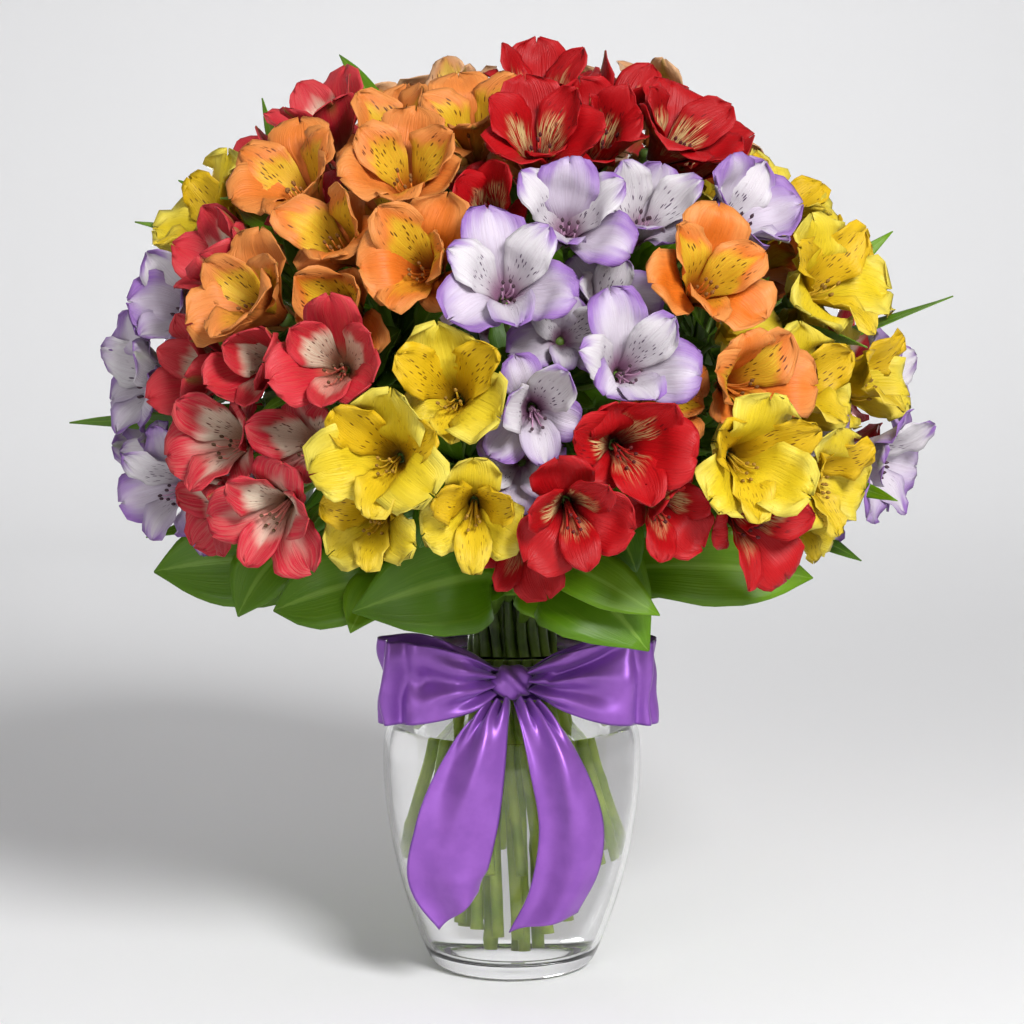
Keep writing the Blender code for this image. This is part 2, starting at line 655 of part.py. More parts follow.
def inner_wall(distance):
    """The vase's outline above the floor, moved inwards by a distance, square to the wall."""
    outline = np.array(VASE_OUTLINE)
    along = np.gradient(outline, axis=0)
    along /= np.linalg.norm(along, axis=1)[:, None]
    moved = outline + distance * np.stack([-along[:, 1], along[:, 0]], axis=1)
    return [tuple(p) for p in moved[INNER_FIRST::2]]


def make_vase():
    rim = VASE_OUTLINE[-1]
    inside = inner_wall(GLASS_THICKNESS)[::-1]
    lip = [(rim[0] - inwards, rim[1] + above) for inwards, above in LIP]
    floor = [(r - GLASS_THICKNESS, z) for r, z in FLOOR_CORNER[::-1]]
    turned("vase", VASE_OUTLINE + lip + inside + floor, "glass")


def make_water(paths):
    """Water up to its level, a hair clear of the glass, with a plain hole for each stem."""
    wall = inner_wall(GLASS_THICKNESS + TOUCHING_GAP)
    outline = [(r - GLASS_THICKNESS - TOUCHING_GAP, z + TOUCHING_GAP) for r, z in FLOOR_CORNER]
    outline += [p for p in wall if p[1] < WATER_LEVEL]
    radius = np.interp(WATER_LEVEL, [p[1] for p in wall], [p[0] for p in wall])
    outline.append((radius, WATER_LEVEL))
    water = turned("water", outline, "water")
    cutters = []
    for path in paths:
        above = int(np.argmax(path[:, 2] > WATER_LEVEL))
        start = path[0] + TOUCHING_GAP * unit(path[0] - path[1])
        route = np.vstack([start, path[1:above + 1]])
        rings = len(route)
        radius = STEM_RADIUS + TOUCHING_GAP / math.cos(math.pi / STEM_SIDES)
        skin = tube_points(route, [radius] * rings, STEM_SIDES)
        cutters.append(add_object("hole", skin, rings_to_faces(rings, STEM_SIDES), "water"))
    combine(water, cutters, "DIFFERENCE")


# Ribbon

def make_band():
    """The ribbon round the neck, gathered to the neck's hollow."""
    heights = (BAND_BOTTOM, 0.5 * (BAND_BOTTOM + BAND_TOP), BAND_TOP)
    radii, levels = zip(*VASE_OUTLINE)
    clear = TOUCHING_GAP / math.cos(math.pi / VASE_SIDES)
    inside = [(np.interp(z, levels, radii) + clear, z) for z in heights]
    outside = [(r + RIBBON_THICKNESS, z) for r, z in inside]
    loop = outside + inside[::-1]
    points, faces = [], []
    for radius, height in loop:
        for side in range(VASE_SIDES):
            turn = 2 * math.pi * side / VASE_SIDES
            points.append((radius * math.cos(turn), radius * math.sin(turn), height))
    for ring in range(len(loop)):
        for side in range(VASE_SIDES):
            low, high = ring * VASE_SIDES, (ring + 1) % len(loop) * VASE_SIDES
            after = (side + 1) % VASE_SIDES
            faces.append((low + side, low + after, high + after, high + side))
    add_object("ribbon_band", points, faces, "ribbon")


def make_knot():
    bm = bmesh.new()
    bmesh.ops.create_icosphere(bm, subdivisions=2, radius=0.5)
    for vertex in bm.verts:
        vertex.co = [c * s + m for c, s, m in zip(vertex.co, KNOT_SIZE, KNOT_MIDDLE)]
    mesh = bpy.data.meshes.new("ribbon_knot")
    bm.to_mesh(mesh)
    bm.free()
    mesh.materials.append(finish("ribbon"))
    mesh.shade_smooth()
    bpy.context.scene.collection.objects.link(bpy.data.objects.new("ribbon_knot", mesh))


def make_strip(name, stations):
    """A length of ribbon through its stations: upright across its width, with a real thickness."""
    middles = np.array([place for place, _, _ in stations])
    along = np.gradient(middles, axis=0)
    rings = []
    for middle, ahead, (_, half, lean) in zip(middles, along, stations):
        ahead = unit(ahead)
        if name.startswith("ribbon_loop"):
            width = unit(np.array([0.0, 0.0, 1.0]) - ahead * ahead[2])
        else:
            width = unit(np.array([1.0, 0.0, lean]))
        thick = unit(np.cross(ahead, width))
        for a, b in ((-1, -1), (1, -1), (1, 1), (-1, 1)):
            rings.append(middle + a * half * width + b * RIBBON_THICKNESS / 2 * thick)
    add_object(name, rings, rings_to_faces(len(stations), 4), "ribbon")


def main():
    start_clean()
    flowers = lay_out_flowers()
    leaves = leaves_between(flowers)
    make_heads(flowers)
    places = neck_places(flowers)
    paths = []
    for head in range(len(HEADS)):
        first = next(f for f in flowers if f["head"] == head)
        paths.append(stem_path(places[head], first["umbel"], first["umbel_axis"]))
    make_stems(paths, leaves)
    make_vase()
    make_water(paths)
    make_band()
    make_knot()
    make_strip("ribbon_loop_left", LOOP_LEFT)
    make_strip("ribbon_loop_right", LOOP_RIGHT)
    make_strip("ribbon_tail_left", TAIL_LEFT)
    make_strip("ribbon_tail_right", TAIL_RIGHT)


main()
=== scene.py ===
import math

import bpy
import numpy as np
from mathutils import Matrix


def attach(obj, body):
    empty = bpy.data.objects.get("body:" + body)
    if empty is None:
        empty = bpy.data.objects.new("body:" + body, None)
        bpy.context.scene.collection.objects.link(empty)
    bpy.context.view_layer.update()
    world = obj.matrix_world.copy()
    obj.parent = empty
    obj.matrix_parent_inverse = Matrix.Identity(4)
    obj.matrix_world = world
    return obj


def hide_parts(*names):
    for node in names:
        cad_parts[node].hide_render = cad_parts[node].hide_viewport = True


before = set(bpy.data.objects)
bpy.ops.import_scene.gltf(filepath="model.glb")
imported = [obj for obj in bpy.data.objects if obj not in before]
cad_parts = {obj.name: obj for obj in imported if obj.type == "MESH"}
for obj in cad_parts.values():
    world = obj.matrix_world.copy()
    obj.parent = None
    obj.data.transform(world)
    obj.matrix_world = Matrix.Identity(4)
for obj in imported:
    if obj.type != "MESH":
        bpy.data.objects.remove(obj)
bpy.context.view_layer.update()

print("frame loaded")


# small helpers

def unit(vectors):
    # each vector divided by its own length
    return vectors / np.maximum(np.linalg.norm(vectors, axis=-1, keepdims=True), 1e-12)


def smoothStep(low, high, x):
    # 0 below low, 1 above high, and an S-shaped curve between them
    t = np.clip((x - low) / (high - low), 0, 1)
    return t * t * (3 - 2 * t)


def ridge(x, width):
    # 1 at 0, and smoothly down to nothing within about twice the width
    return np.exp(-((x / width) ** 2))


def directionOf(azimuth, elevation):
    # unit vector: azimuth 0 at the front, positive to the right, both in degrees
    a, e = math.radians(azimuth), math.radians(elevation)
    return np.array([math.sin(a) * math.cos(e), -math.cos(a) * math.cos(e), math.sin(e)])


def bezier(start, leave, arrive, end, count):
    # cubic curve: the four points weighted by the Bernstein polynomials
    t = np.linspace(0, 1, count)[:, None]
    return (1 - t) ** 3 * start + 3 * (1 - t) ** 2 * t * leave + 3 * (1 - t) * t**2 * arrive + t**3 * end


def smoothRows(rows, count):
    # Catmull-Rom curve through the rows of a table, each column on its own, at evenly spaced parameters
    rows = np.asarray(rows, float)
    padded = np.vstack([2 * rows[0] - rows[1], rows, 2 * rows[-1] - rows[-2]])
    t = np.linspace(0, len(rows) - 1, count)
    k = np.minimum(t.astype(int), len(rows) - 2)
    f = (t - k)[:, None]
    a, b, c, d = padded[k], padded[k + 1], padded[k + 2], padded[k + 3]
    return 0.5 * (2 * b + (c - a) * f + (2 * a - 5 * b + 4 * c - d) * f**2 + (3 * b - a - 3 * c + d) * f**3)


# meshes from whole arrays

def squares(*corners):
    # four-sided faces from the numbers of their corners, one array for each corner
    return np.stack(corners, axis=-1).reshape(-1, 4)


def ringFaces(rings, sides):
    # faces between rings of points, each joined to the next, and the two discs that close the ends
    number = np.arange(rings * sides).reshape(rings, sides)
    after = np.roll(number, -1, axis=1)
    return squares(number[:-1], after[:-1], after[1:], number[1:]), np.stack([number[0, ::-1], number[-1]])


def thinShells(grids, thickness, rim=0.45):
    # closed sheets round middle surfaces: the grid moved half the thickness along its normal to either side,
    # thinner at the rim, and joined all the way round
    grids = np.asarray(grids)
    count, rows, columns, _ = grids.shape
    normal = unit(np.cross(np.gradient(grids, axis=1), np.gradient(grids, axis=2)))
    v = np.linspace(-1, 1, columns)
    half = 0.5 * thickness * (rim + (1 - rim) * (1 - v**4))[:, None]
    points = np.stack([grids + half * normal, grids - half * normal], axis=1)
    size = rows * columns
    f = np.arange(size).reshape(rows, columns)
    b = f + size
    edge = np.concatenate([f[0, :-1], f[:-1, -1], f[-1, :0:-1], f[:0:-1, 0]])
    after = np.roll(edge, -1)
    faces = np.vstack([
        squares(f[:-1, :-1], f[1:, :-1], f[1:, 1:], f[:-1, 1:]),
        squares(b[:-1, :-1], b[:-1, 1:], b[1:, 1:], b[1:, :-1]),
        squares(edge, after, after + size, edge + size),
    ])
    shift = (np.arange(count) * 2 * size)[:, None, None]
    return points.reshape(-1, 3), [(faces + shift).reshape(-1, 4)]


def gridPlaces(rows, columns, length=1.0):
    # on both skins of such a sheet: how far each point lies across, from -1 to 1, and how far along
    mark = np.zeros((2, rows, columns, 3))
    mark[..., 0] = np.linspace(-1, 1, columns)
    mark[..., 1] = (np.linspace(0, 1, rows) * length)[:, None]
    return mark


def tubes(paths, radii, sides):
    # closed round tubes: at each point of a path, a circle of its radius square to the path
    paths = np.asarray(paths, float)
    count, rings, _ = paths.shape
    along = unit(np.gradient(paths, axis=1))
    across = np.empty_like(paths)
    anyway = np.array([0.13, 0.98, 0.11])
    across[:, 0] = unit(np.cross(along[:, 0], anyway))
    for ring in range(1, rings):
        last, ahead = across[:, ring - 1], along[:, ring]
        across[:, ring] = unit(last - ahead * np.sum(last * ahead, axis=-1, keepdims=True))
    other = np.cross(along, across)
    turn = np.linspace(0, 2 * math.pi, sides, endpoint=False)[:, None]
    radii = np.broadcast_to(radii, (count, rings))[:, :, None, None]
    ring = np.cos(turn) * across[:, :, None] + np.sin(turn) * other[:, :, None]
    points = paths[:, :, None] + radii * ring
    faces, caps = ringFaces(rings, sides)
    shift = (np.arange(count) * rings * sides)[:, None, None]
    return points.reshape(-1, 3), [(faces + shift).reshape(-1, 4), (caps + shift).reshape(-1, sides)]


def turned(outline, sides):
    # surface of revolution about Z of a row of (radius, height), closed by a flat disc at each end
    outline = np.asarray(outline)
    turn = np.linspace(0, 2 * math.pi, sides, endpoint=False)
    ring = np.stack([np.cos(turn), np.sin(turn)], axis=1)
    height = np.broadcast_to(outline[:, None, 1:], (len(outline), sides, 1))
    points = np.concatenate([outline[:, None, :1] * ring, height], axis=2)
    return points.reshape(-1, 3), list(ringFaces(len(outline), sides))


def makePiece(name, parts, materials):
    # one object from parts of (points, lists of faces, material number) and, where the material asks for it,
    # the place of each point on its tepal or blade and its chance values
    points, faces, slots, marks, chances, start = [], [], [], [], [], 0
    nothing = (0, 0, 0)
    for part in parts:
        partPoints, partFaces, slot, mark, chance = (*part, nothing, nothing)[:5]
        points.append(partPoints)
        marks.append(np.broadcast_to(mark, partPoints.shape))
        chances.append(np.broadcast_to(chance, partPoints.shape))
        for block in partFaces:
            faces.extend((block + start).tolist())
            slots.append(np.full(len(block), slot))
        start += len(partPoints)
    mesh = bpy.data.meshes.new(name)
    mesh.from_pydata(np.concatenate(points).tolist(), [], faces)
    for label, values in (("place", marks), ("chance", chances)):
        layer = mesh.attributes.new(label, "FLOAT_VECTOR", "POINT")
        layer.data.foreach_set("vector", np.concatenate(values).astype(np.float32).ravel())
    for material in materials:
        mesh.materials.append(material)
    mesh.polygons.foreach_set("material_index", np.concatenate(slots).astype(np.int32))
    mesh.polygons.foreach_set("use_smooth", np.full(len(faces), True))
    mesh.update()
    made = bpy.data.objects.new(name, mesh)
    bpy.context.scene.collection.objects.link(made)
    return made


def settle(piece, node):
    # the piece belongs to the one body, and is seen instead of its solid
    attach(piece, "root")
    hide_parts(node)
    return piece


# material helpers

def paint(red, green, blue):
    # a colour as it looks on a screen, 0 to 255, as the linear one that shaders take
    s = np.array([red, green, blue]) / 255
    linear = np.where(s <= 0.04045, s / 12.92, ((s + 0.055) / 1.055) ** 2.4)
    return (*linear.tolist(), 1.0)


def newMaterial(name, **sockets):
    made = bpy.data.materials.new(name)
    made.use_nodes = True
    shader = made.node_tree.nodes["Principled BSDF"]
    for socket, value in sockets.items():
        shader.inputs[socket.replace("_", " ")].default_value = value
    return made, shader


class Wire:
    # the output of a node, which can be added, taken away and multiplied like a number
    def __init__(self, socket):
        self.socket = socket

    def __add__(self, other):
        return add("Math", {0: self, 1: other}, operation="ADD")[0]

    def __sub__(self, other):
        return add("Math", {0: self, 1: other}, operation="SUBTRACT")[0]

    def __rsub__(self, other):
        return add("Math", {0: other, 1: self}, operation="SUBTRACT")[0]

    def __mul__(self, other):
        return add("Math", {0: self, 1: other}, operation="MULTIPLY")[0]

    def __abs__(self):
        return add("Math", {0: self}, operation="ABSOLUTE")[0]


def add(kind, inputs, shader=None, **settings):
    # a node in the tree of its inputs or of a shader: its inputs by number or name, each a value or a wire,
    # and then its settings. What comes back is a wire for each of its outputs
    wires = [value for value in inputs.values() if isinstance(value, Wire)]
    tree = shader.id_data if shader else wires[0].socket.id_data
    node = tree.nodes.new("ShaderNode" + kind)
    for key, value in settings.items():
        setattr(node, key, value)
    for key, value in inputs.items():
        if isinstance(value, Wire):
            tree.links.new(value.socket, node.inputs[key])
        else:
            node.inputs[key].default_value = value
    return [Wire(output) for output in node.outputs]


def ramp(value, low, high, out=(0.0, 1.0)):
    # out[0] below low, out[1] above high, smooth between
    inputs = {0: value, 1: low, 2: high, 3: out[0], 4: out[1]}
    return add("MapRange", inputs, interpolation_type="SMOOTHSTEP")[0]


def mix(factor, first, second):
    return add("Mix", {0: factor, 6: first, 7: second}, data_type="RGBA")[2]


def split(shader, name):
    # the three values that an attribute holds
    found = add("Attribute", {}, shader, attribute_name=name)[1]
    return add("SeparateXYZ", {0: found})


def joined(x, y, z):
    return add("CombineXYZ", {0: x, 1: y, 2: z})[0]


def objectPlace(shader):
    return add("TexCoord", {}, shader)[3]


def noise(vector, scale, detail=3.0):
    return add("TexNoise", {"Vector": vector, "Scale": scale, "Detail": detail})[0]


def connect(wire, shader, name):
    shader.id_data.links.new(wire.socket, shader.inputs[name])


def bump(shader, height, strength, distance):
    connect(add("Bump", {"Height": height, "Strength": strength, "Distance": distance})[0], shader, "Normal")


# camera

view = {"lens": 100.0, "elevation": 7.0, "distance": 1.31, "target": (0.0, 0.0, 0.212)}


def makeCamera():
    data = bpy.data.cameras.new("camera")
    data.lens = view["lens"]
    camera = bpy.data.objects.new("camera", data)
    bpy.context.scene.collection.objects.link(camera)
    elevation = math.radians(view["elevation"])
    x, y, z = view["target"]
    back = view["distance"] * math.cos(elevation)
    camera.location = (x, y - back, z + view["distance"] * math.sin(elevation))
    camera.rotation_euler = (math.pi / 2 - elevation, 0, 0)
    bpy.context.scene.camera = camera


makeCamera()
print("camera set")


# studio: a pale floor that curves up into a wall all round, and soft lights

studio = {
    "floor": (243, 243, 244),
    "flatRadius": 1.5,
    "wallRadius": 2.9,
    "wallTop": 2.6,
    "below": 0.0002,
    "steps": 24,
    "sides": 96,
    "world": 0.34,
    "noiseLimit": 0.03,
    "fewestSamples": 16,
    "lights": [
        # name, place, target, size, strength in watts, spread in degrees
        ("key", (0.80, -1.70, 1.36), (0.0, 0.0, 0.24), 0.7, 14.0, 90),
        ("fill", (-0.90, -2.20, 0.62), (0.0, 0.0, 0.26), 1.2, 2.6, 80),
        ("wash", (0.1, 1.00, 2.00), (0.15, 2.40, 0.42), 1.4, 5.8, 100),
        ("back", (-0.50, 1.60, 0.16), (0.0, 0.0, 0.40), 0.3, 1.6, 28),
    ],
}


def makeStudio():
    rise = np.radians(np.linspace(0, 90, studio["steps"]))
    radius = studio["wallRadius"] - studio["flatRadius"]
    curve = np.stack([studio["flatRadius"] + radius * np.sin(rise), radius * (1 - np.cos(rise))], axis=1)
    outline = np.vstack([[0.002, 0.0], [0.5, 0.0], curve, [studio["wallRadius"], studio["wallTop"]]])
    outline[:, 1] -= studio["below"]
    points, (faces, caps) = turned(outline, studio["sides"])
    paper, _ = newMaterial("studio_paper", Roughness=0.9, Base_Color=paint(*studio["floor"]))
    makePiece("studio_floor", [(points, [faces[:, ::-1], caps[:1, ::-1]], 0)], [paper])
    for name, place, target, size, strength, spread in studio["lights"]:
        data = bpy.data.lights.new(name, "AREA")
        data.shape = "DISK"
        data.size = size
        data.energy = strength
        data.spread = math.radians(spread)
        lamp = bpy.data.objects.new(name, data)
        lamp.location = place
        lamp.visible_camera = False
        ahead = np.array(target) - np.array(place)
        flat = math.hypot(ahead[0], ahead[1])
        lamp.rotation_euler = (math.atan2(flat, -ahead[2]), 0, math.atan2(ahead[1], ahead[0]) - math.pi / 2)
        bpy.context.scene.collection.objects.link(lamp)
    world = bpy.data.worlds.new("studio_air")
    world.use_nodes = True
    air = world.node_tree.nodes["Background"].inputs
    air["Color"].default_value = (1.0, 1.0, 1.0, 1.0)
    air["Strength"].default_value = studio["world"]
    bpy.context.scene.world = world
    bpy.context.scene.view_settings.view_transform = "Standard"
    # plain areas need fewer samples than petals and glass
    cycles = bpy.context.scene.cycles
    cycles.use_adaptive_sampling = True
    cycles.adaptive_threshold = studio["noiseLimit"]
    cycles.adaptive_min_samples = studio["fewestSamples"]


makeStudio()
print("studio set")


# where every flower stands: the same layout as the solids

dome = {
    "seed": 7,
    "middle": np.array([0.0, 0.0, 0.241]),
    "radius": 0.174,
    "levels": (0.0, 0.006, -0.006),
    "jostleReach": 0.056,
    "sizes": (0.94, 1.06),
    "flares": (0.90, 1.06),
    "roll": 25,
    "sway": 0.12,
    "umbelRadius": 0.100,
    "stalkShare": 0.38,
    "frontLean": 0.32,
    "leanFades": (-0.20, 0.45),
    "heartDepth": 0.010,
    "neighbourReach": 0.080,
    "depthStress": 2.0,
    "flowerGap": 0.0006,
    "leafGap": 0.0016,
    "peekingPass": 0.132,
}

# every umbel: its name, its colour, and the azimuth and elevation of each of its flowers
heads = [
    ("orange_left", "orange", [(-33, 37), (-49, 45), (-44, 25), (-30, 26)]),
    ("orange_crown", "orange", [(-22, 47), (-15, 32), (-12, 61), (-42, 62)]),
    ("red_crown", "red", [(16, 75), (6, 54), (-6, 44), (26, 58)]),
    ("red_right", "red", [(60, 70), (46, 55), (66, 57)]),
    ("lilac_crown", "lilac", [(10, 40), (28, 43), (50, 41)]),
    ("lilac_middle", "lilac", [(-1, 29), (17, 17), (3, 11)]),
    ("orange_right", "orange", [(32, 29), (37, 14)]),
    ("yellow_right", "yellow", [(62, 28), (73, 42), (72, 12), (84, 29)]),
    ("yellow_low_right", "yellow", [(52, 13), (34, 3), (52, -3)]),
    ("lilac_right", "lilac", [(70, -2), (87, -4), (89, 11)]),
    ("red_low", "red", [(16, 6), (8, -5), (23, -5), (38, -8)]),
    ("yellow_low", "yellow", [(-9, 14), (-17, 5), (-20, -6), (-5, -5)]),
    ("pink_low", "pink", [(-32, 6), (-46, 6), (-34, -6), (-48, -6)]),
    ("coral_left", "coral", [(-25, 17), (-40, 17), (-57, 15), (-57, 32)]),
    ("coral_crown", "coral", [(-82, 49), (-72, 60), (-102, 58)]),
    ("yellow_left", "yellow", [(-75, 38), (-98, 37)]),
    ("lilac_left", "lilac", [(-69, 24), (-86, 24), (-76, 12), (-94, 11)]),
    ("lilac_low_left", "lilac", [(-62, -5), (-79, -3), (-96, -4)]),
    ("pink_back", "pink", [(106, -6), (108, 12), (128, -6), (129, 12)]),
    ("yellow_back", "yellow", [(150, -6), (151, 12), (172, -6), (174, 12)]),
    ("lilac_back", "lilac", [(194, -6), (196, 12), (216, -6), (218, 12)]),
    ("red_back", "red", [(238, -6), (240, 12), (253, 3)]),
    ("orange_back", "orange", [(104, 30), (127, 30), (126, 47), (150, 30)]),
    ("coral_back", "coral", [(154, 47), (174, 30), (182, 47), (197, 30), (210, 47)]),
    ("peach_back", "peach", [(219, 30), (241, 30), (238, 47), (186, 64)]),
    ("peach_crown", "peach", [(102, 64), (142, 64), (100, 82), (-64, 78), (99, 47), (226, 64)]),
]

# leaves that come out between two flowers: direction, reach of the tip, width, sideways bend of the tip
peekingLeaves = [
    ((-89, 68), 0.208, 0.013, 0.004),
    ((-92, 50), 0.202, 0.013, -0.006),
    ((-88, 43), 0.198, 0.014, 0.006),
    ((-86, 31), 0.200, 0.016, 0.004),
    ((-85, 4), 0.202, 0.015, 0.005),
    ((-60, 38), 0.186, 0.013, -0.004),
    ((85, 20), 0.212, 0.014, 0.005),
    ((94, 27), 0.206, 0.013, 0.007),
    ((62, 20), 0.192, 0.018, -0.004),
    ((60, -2), 0.190, 0.010, -0.006),
    ((139, -5), 0.200, 0.015, 0.005),
    ((162, 21), 0.200, 0.014, 0.005),
    ((206, 21), 0.200, 0.014, -0.005),
    ((227, -5), 0.200, 0.015, 0.005),
    ((140, 55), 0.200, 0.013, 0.004),
]


def towardsFront(out):
    # what turns a flower to the front, less and less as it stands further back
    share = np.interp(-out[1], dome["leanFades"], (0.0, 1.0))
    return share * np.array([0.0, -dome["frontLean"], 0.0])


def layOutFlowers():
    draw = np.random.default_rng(dome["seed"])
    flowers = []
    for head, (_, colour, places) in enumerate(heads):
        for azimuth, elevation in places:
            flowers.append({"head": head, "colour": colour, "out": directionOf(azimuth, elevation),
                            "azimuth": azimuth, "elevation": elevation, "leafBeside": set()})
    for index, flower in enumerate(flowers):
        apart = [np.linalg.norm(f["out"] - flower["out"]) * dome["radius"] for f in flowers[:index]]
        near = [f for f, distance in zip(flowers, apart) if distance < dome["jostleReach"]]
        crowding = [sum(abs(level - f["level"]) < 1e-6 for f in near) for level in dome["levels"]]
        flower["level"] = dome["levels"][int(np.argmin(crowding))]
        flower["mouth"] = dome["middle"] + (dome["radius"] + flower["level"]) * flower["out"]
        flower["size"] = draw.uniform(*dome["sizes"])
        flower["flare"] = draw.uniform(*dome["flares"])
        flower["roll"] = math.radians(draw.uniform(-dome["roll"], dome["roll"]))
        flower["sway"] = draw.uniform(-dome["sway"], dome["sway"], 3)
        flower["index"] = index
    for head in range(len(heads)):
        members = [f for f in flowers if f["head"] == head]
        middle = unit(sum(f["out"] for f in members))
        umbel = dome["middle"] + dome["umbelRadius"] * middle
        for flower in members:
            spread = unit(flower["mouth"] - umbel)
            looks = (1 - dome["stalkShare"]) * flower["out"] + dome["stalkShare"] * spread
            flower["umbel"] = umbel
            flower["umbelAxis"] = middle
            flower["axis"] = unit(looks + flower["sway"] + towardsFront(flower["out"]))
    return flowers


def heartOf(flower):
    return flower["mouth"] - dome["heartDepth"] * flower["axis"]


def dividingPlane(one, other):
    # the plane halfway between two flowers, turned so that it parts them more by depth than sideways
    apart = heartOf(one) - heartOf(other)
    out = unit(one["out"] + other["out"])
    normal = unit(apart + (dome["depthStress"] - 1) * (apart @ out) * out)
    return (heartOf(one) + heartOf(other)) / 2, normal


def leavesBetween(flowers):
    leaves = []
    for (azimuth, elevation), reach, width, bend in peekingLeaves:
        out = directionOf(azimuth, elevation)
        one, other = sorted(flowers, key=lambda f: -(f["out"] @ out))[:2]
        one["leafBeside"].add(other["index"])
        other["leafBeside"].add(one["index"])
        point, normal = dividingPlane(one, other)
        places = []
        for distance, sideways in ((dome["peekingPass"], 0.0), (reach, bend)):
            place = dome["middle"] + distance * out
            place = place - ((place - point) @ normal) * normal
            places.append(place + sideways * unit(np.cross(normal, out)))
        leaves.append((one["head"], places[0], places[1], width, normal))
    return leaves


def roomPlanes(flower, flowers):
    planes = []
    for other in flowers:
        if other is flower or np.linalg.norm(heartOf(flower) - heartOf(other)) > dome["neighbourReach"]:
            continue
        middle, normal = dividingPlane(flower, other)
        gap = dome["leafGap"] if other["index"] in flower["leafBeside"] else dome["flowerGap"]
        planes.append((middle, normal, gap))
    return planes


def flowerFrame(flower):
    axis = flower["axis"]
    up = np.array([0.0, 0.0, 1.0]) + 0.2 * directionOf(flower["azimuth"], 0) * (axis[2] > 0.95)
    up = unit(up - axis * (up @ axis))
    side = np.cross(up, axis)
    cos, sin = math.cos(flower["roll"]), math.sin(flower["roll"])
    return side * cos + up * sin, up * cos - side * sin, axis


flowers = layOutFlowers()
betweenLeaves = leavesBetween(flowers)
print("flowers laid out:", len(flowers))

# smaller flowers deeper in the dome, where the open ones leave the widest gaps
fillers = {
    "seed": 33,
    "most": 64,
    "narrowest": 8.8,
    "lowest": -12.0,
    "depth": 0.020,
    "sizes": (0.66, 0.84),
    "roll": 60,
    "tilt": 0.2,
    "candidates": 4000,
    "first": [(1, 3), (2, -13)],
}


def layOutFillers():
    # of evenly spread directions on a spiral, one after another the one that is furthest from all flowers
    draw = np.random.default_rng(fillers["seed"])
    count = fillers["candidates"]
    step = np.arange(count)
    rise = 1 - 2 * (step + 0.5) / count
    turn = step * math.pi * (3 - math.sqrt(5))
    flat = np.sqrt(1 - rise**2)
    spread = np.stack([flat * np.cos(turn), flat * np.sin(turn), rise], axis=1)
    spread = spread[spread[:, 2] > math.sin(math.radians(fillers["lowest"]))]
    mouths = np.array([unit(f["mouth"] - dome["middle"]) for f in flowers])
    first = [directionOf(*place) for place in fillers["first"]]
    found = []
    for number in range(fillers["most"]):
        nearest = np.degrees(np.arccos(np.clip((spread @ mouths.T).max(axis=1), -1, 1)))
        best = int(np.argmax(nearest))
        if nearest[best] < fillers["narrowest"]:
            break
        out = first[number] if number < len(first) else spread[best]
        mouths = np.vstack([mouths, out])
        beside = max(flowers, key=lambda f: f["out"] @ out)
        found.append({
            "head": beside["head"], "colour": beside["colour"], "out": out, "index": len(flowers) + number,
            "azimuth": math.degrees(math.atan2(out[0], -out[1])),
            "elevation": math.degrees(math.asin(out[2])),
            "mouth": dome["middle"] + (dome["radius"] - fillers["depth"]) * out,
            "size": draw.uniform(*fillers["sizes"]),
            "flare": draw.uniform(*dome["flares"]),
            "roll": math.radians(draw.uniform(-fillers["roll"], fillers["roll"])),
            "axis": unit(out + towardsFront(out) + draw.uniform(-fillers["tilt"], fillers["tilt"], 3)),
            "umbel": beside["umbel"], "umbelAxis": beside["umbelAxis"], "leafBeside": set(), "inner": True,
        })
    return found


innerFlowers = layOutFillers()
print("smaller flowers in the gaps:", len(innerFlowers))


# petals: colours of each kind of flower, as they look in soft light, and how much of it the petal gives back

petalShade = 0.62
petalRows = (
    "body", "other", "edge", "inner", "throat", "fleck",
    # where the edge's colour starts, where the inner tepals' own colour ends at the tip, and how much sooner
    # at the sides, how much flecks show on the outer tepals, where they end, how streaky the inner colour is
    "edgeStart", "innerTip", "innerSide", "outerFleck", "fleckEnd", "streaks",
)
# the fifth colour of each, at the throat, is darker than the tepal's own base, partly as painted shade of the
# deep funnel
petalColours = {
    "orange": ((250, 126, 30), (250, 152, 74), (252, 160, 82), (250, 200, 48), (180, 74, 14), (96, 36, 8),
               0.46, 0.76, 0.30, 0.10, 0.76, 0.0),
    "peach": ((240, 160, 92), (240, 140, 74), (246, 194, 146), (248, 204, 84), (204, 112, 42), (112, 54, 20),
              0.46, 0.80, 0.26, 0.05, 0.76, 0.0),
    "red": ((206, 8, 18), (178, 4, 16), (216, 22, 32), (250, 224, 156), (92, 2, 10), (112, 2, 12),
            0.72, 0.60, 0.22, 0.0, 0.66, 1.0),
    "coral": ((226, 44, 60), (206, 20, 40), (228, 60, 72), (252, 236, 206), (206, 150, 112), (112, 44, 34),
              0.52, 0.66, 0.14, 0.0, 0.60, 0.15),
    "pink": ((250, 206, 184), (244, 120, 124), (226, 40, 62), (252, 236, 210), (200, 140, 104), (110, 42, 36),
             0.16, 0.64, 0.18, 0.12, 0.62, 0.1),
    "lilac": ((238, 228, 240), (214, 188, 228), (162, 114, 200), (246, 240, 244), (168, 102, 146),
              (72, 26, 80), 0.46, 0.86, 0.04, 0.0, 0.58, 0.0),
    "yellow": ((248, 216, 34), (246, 222, 66), (252, 232, 92), (246, 200, 24), (190, 142, 16), (110, 62, 8),
               0.52, 1.10, 0.10, 0.20, 0.78, 0.0),
}
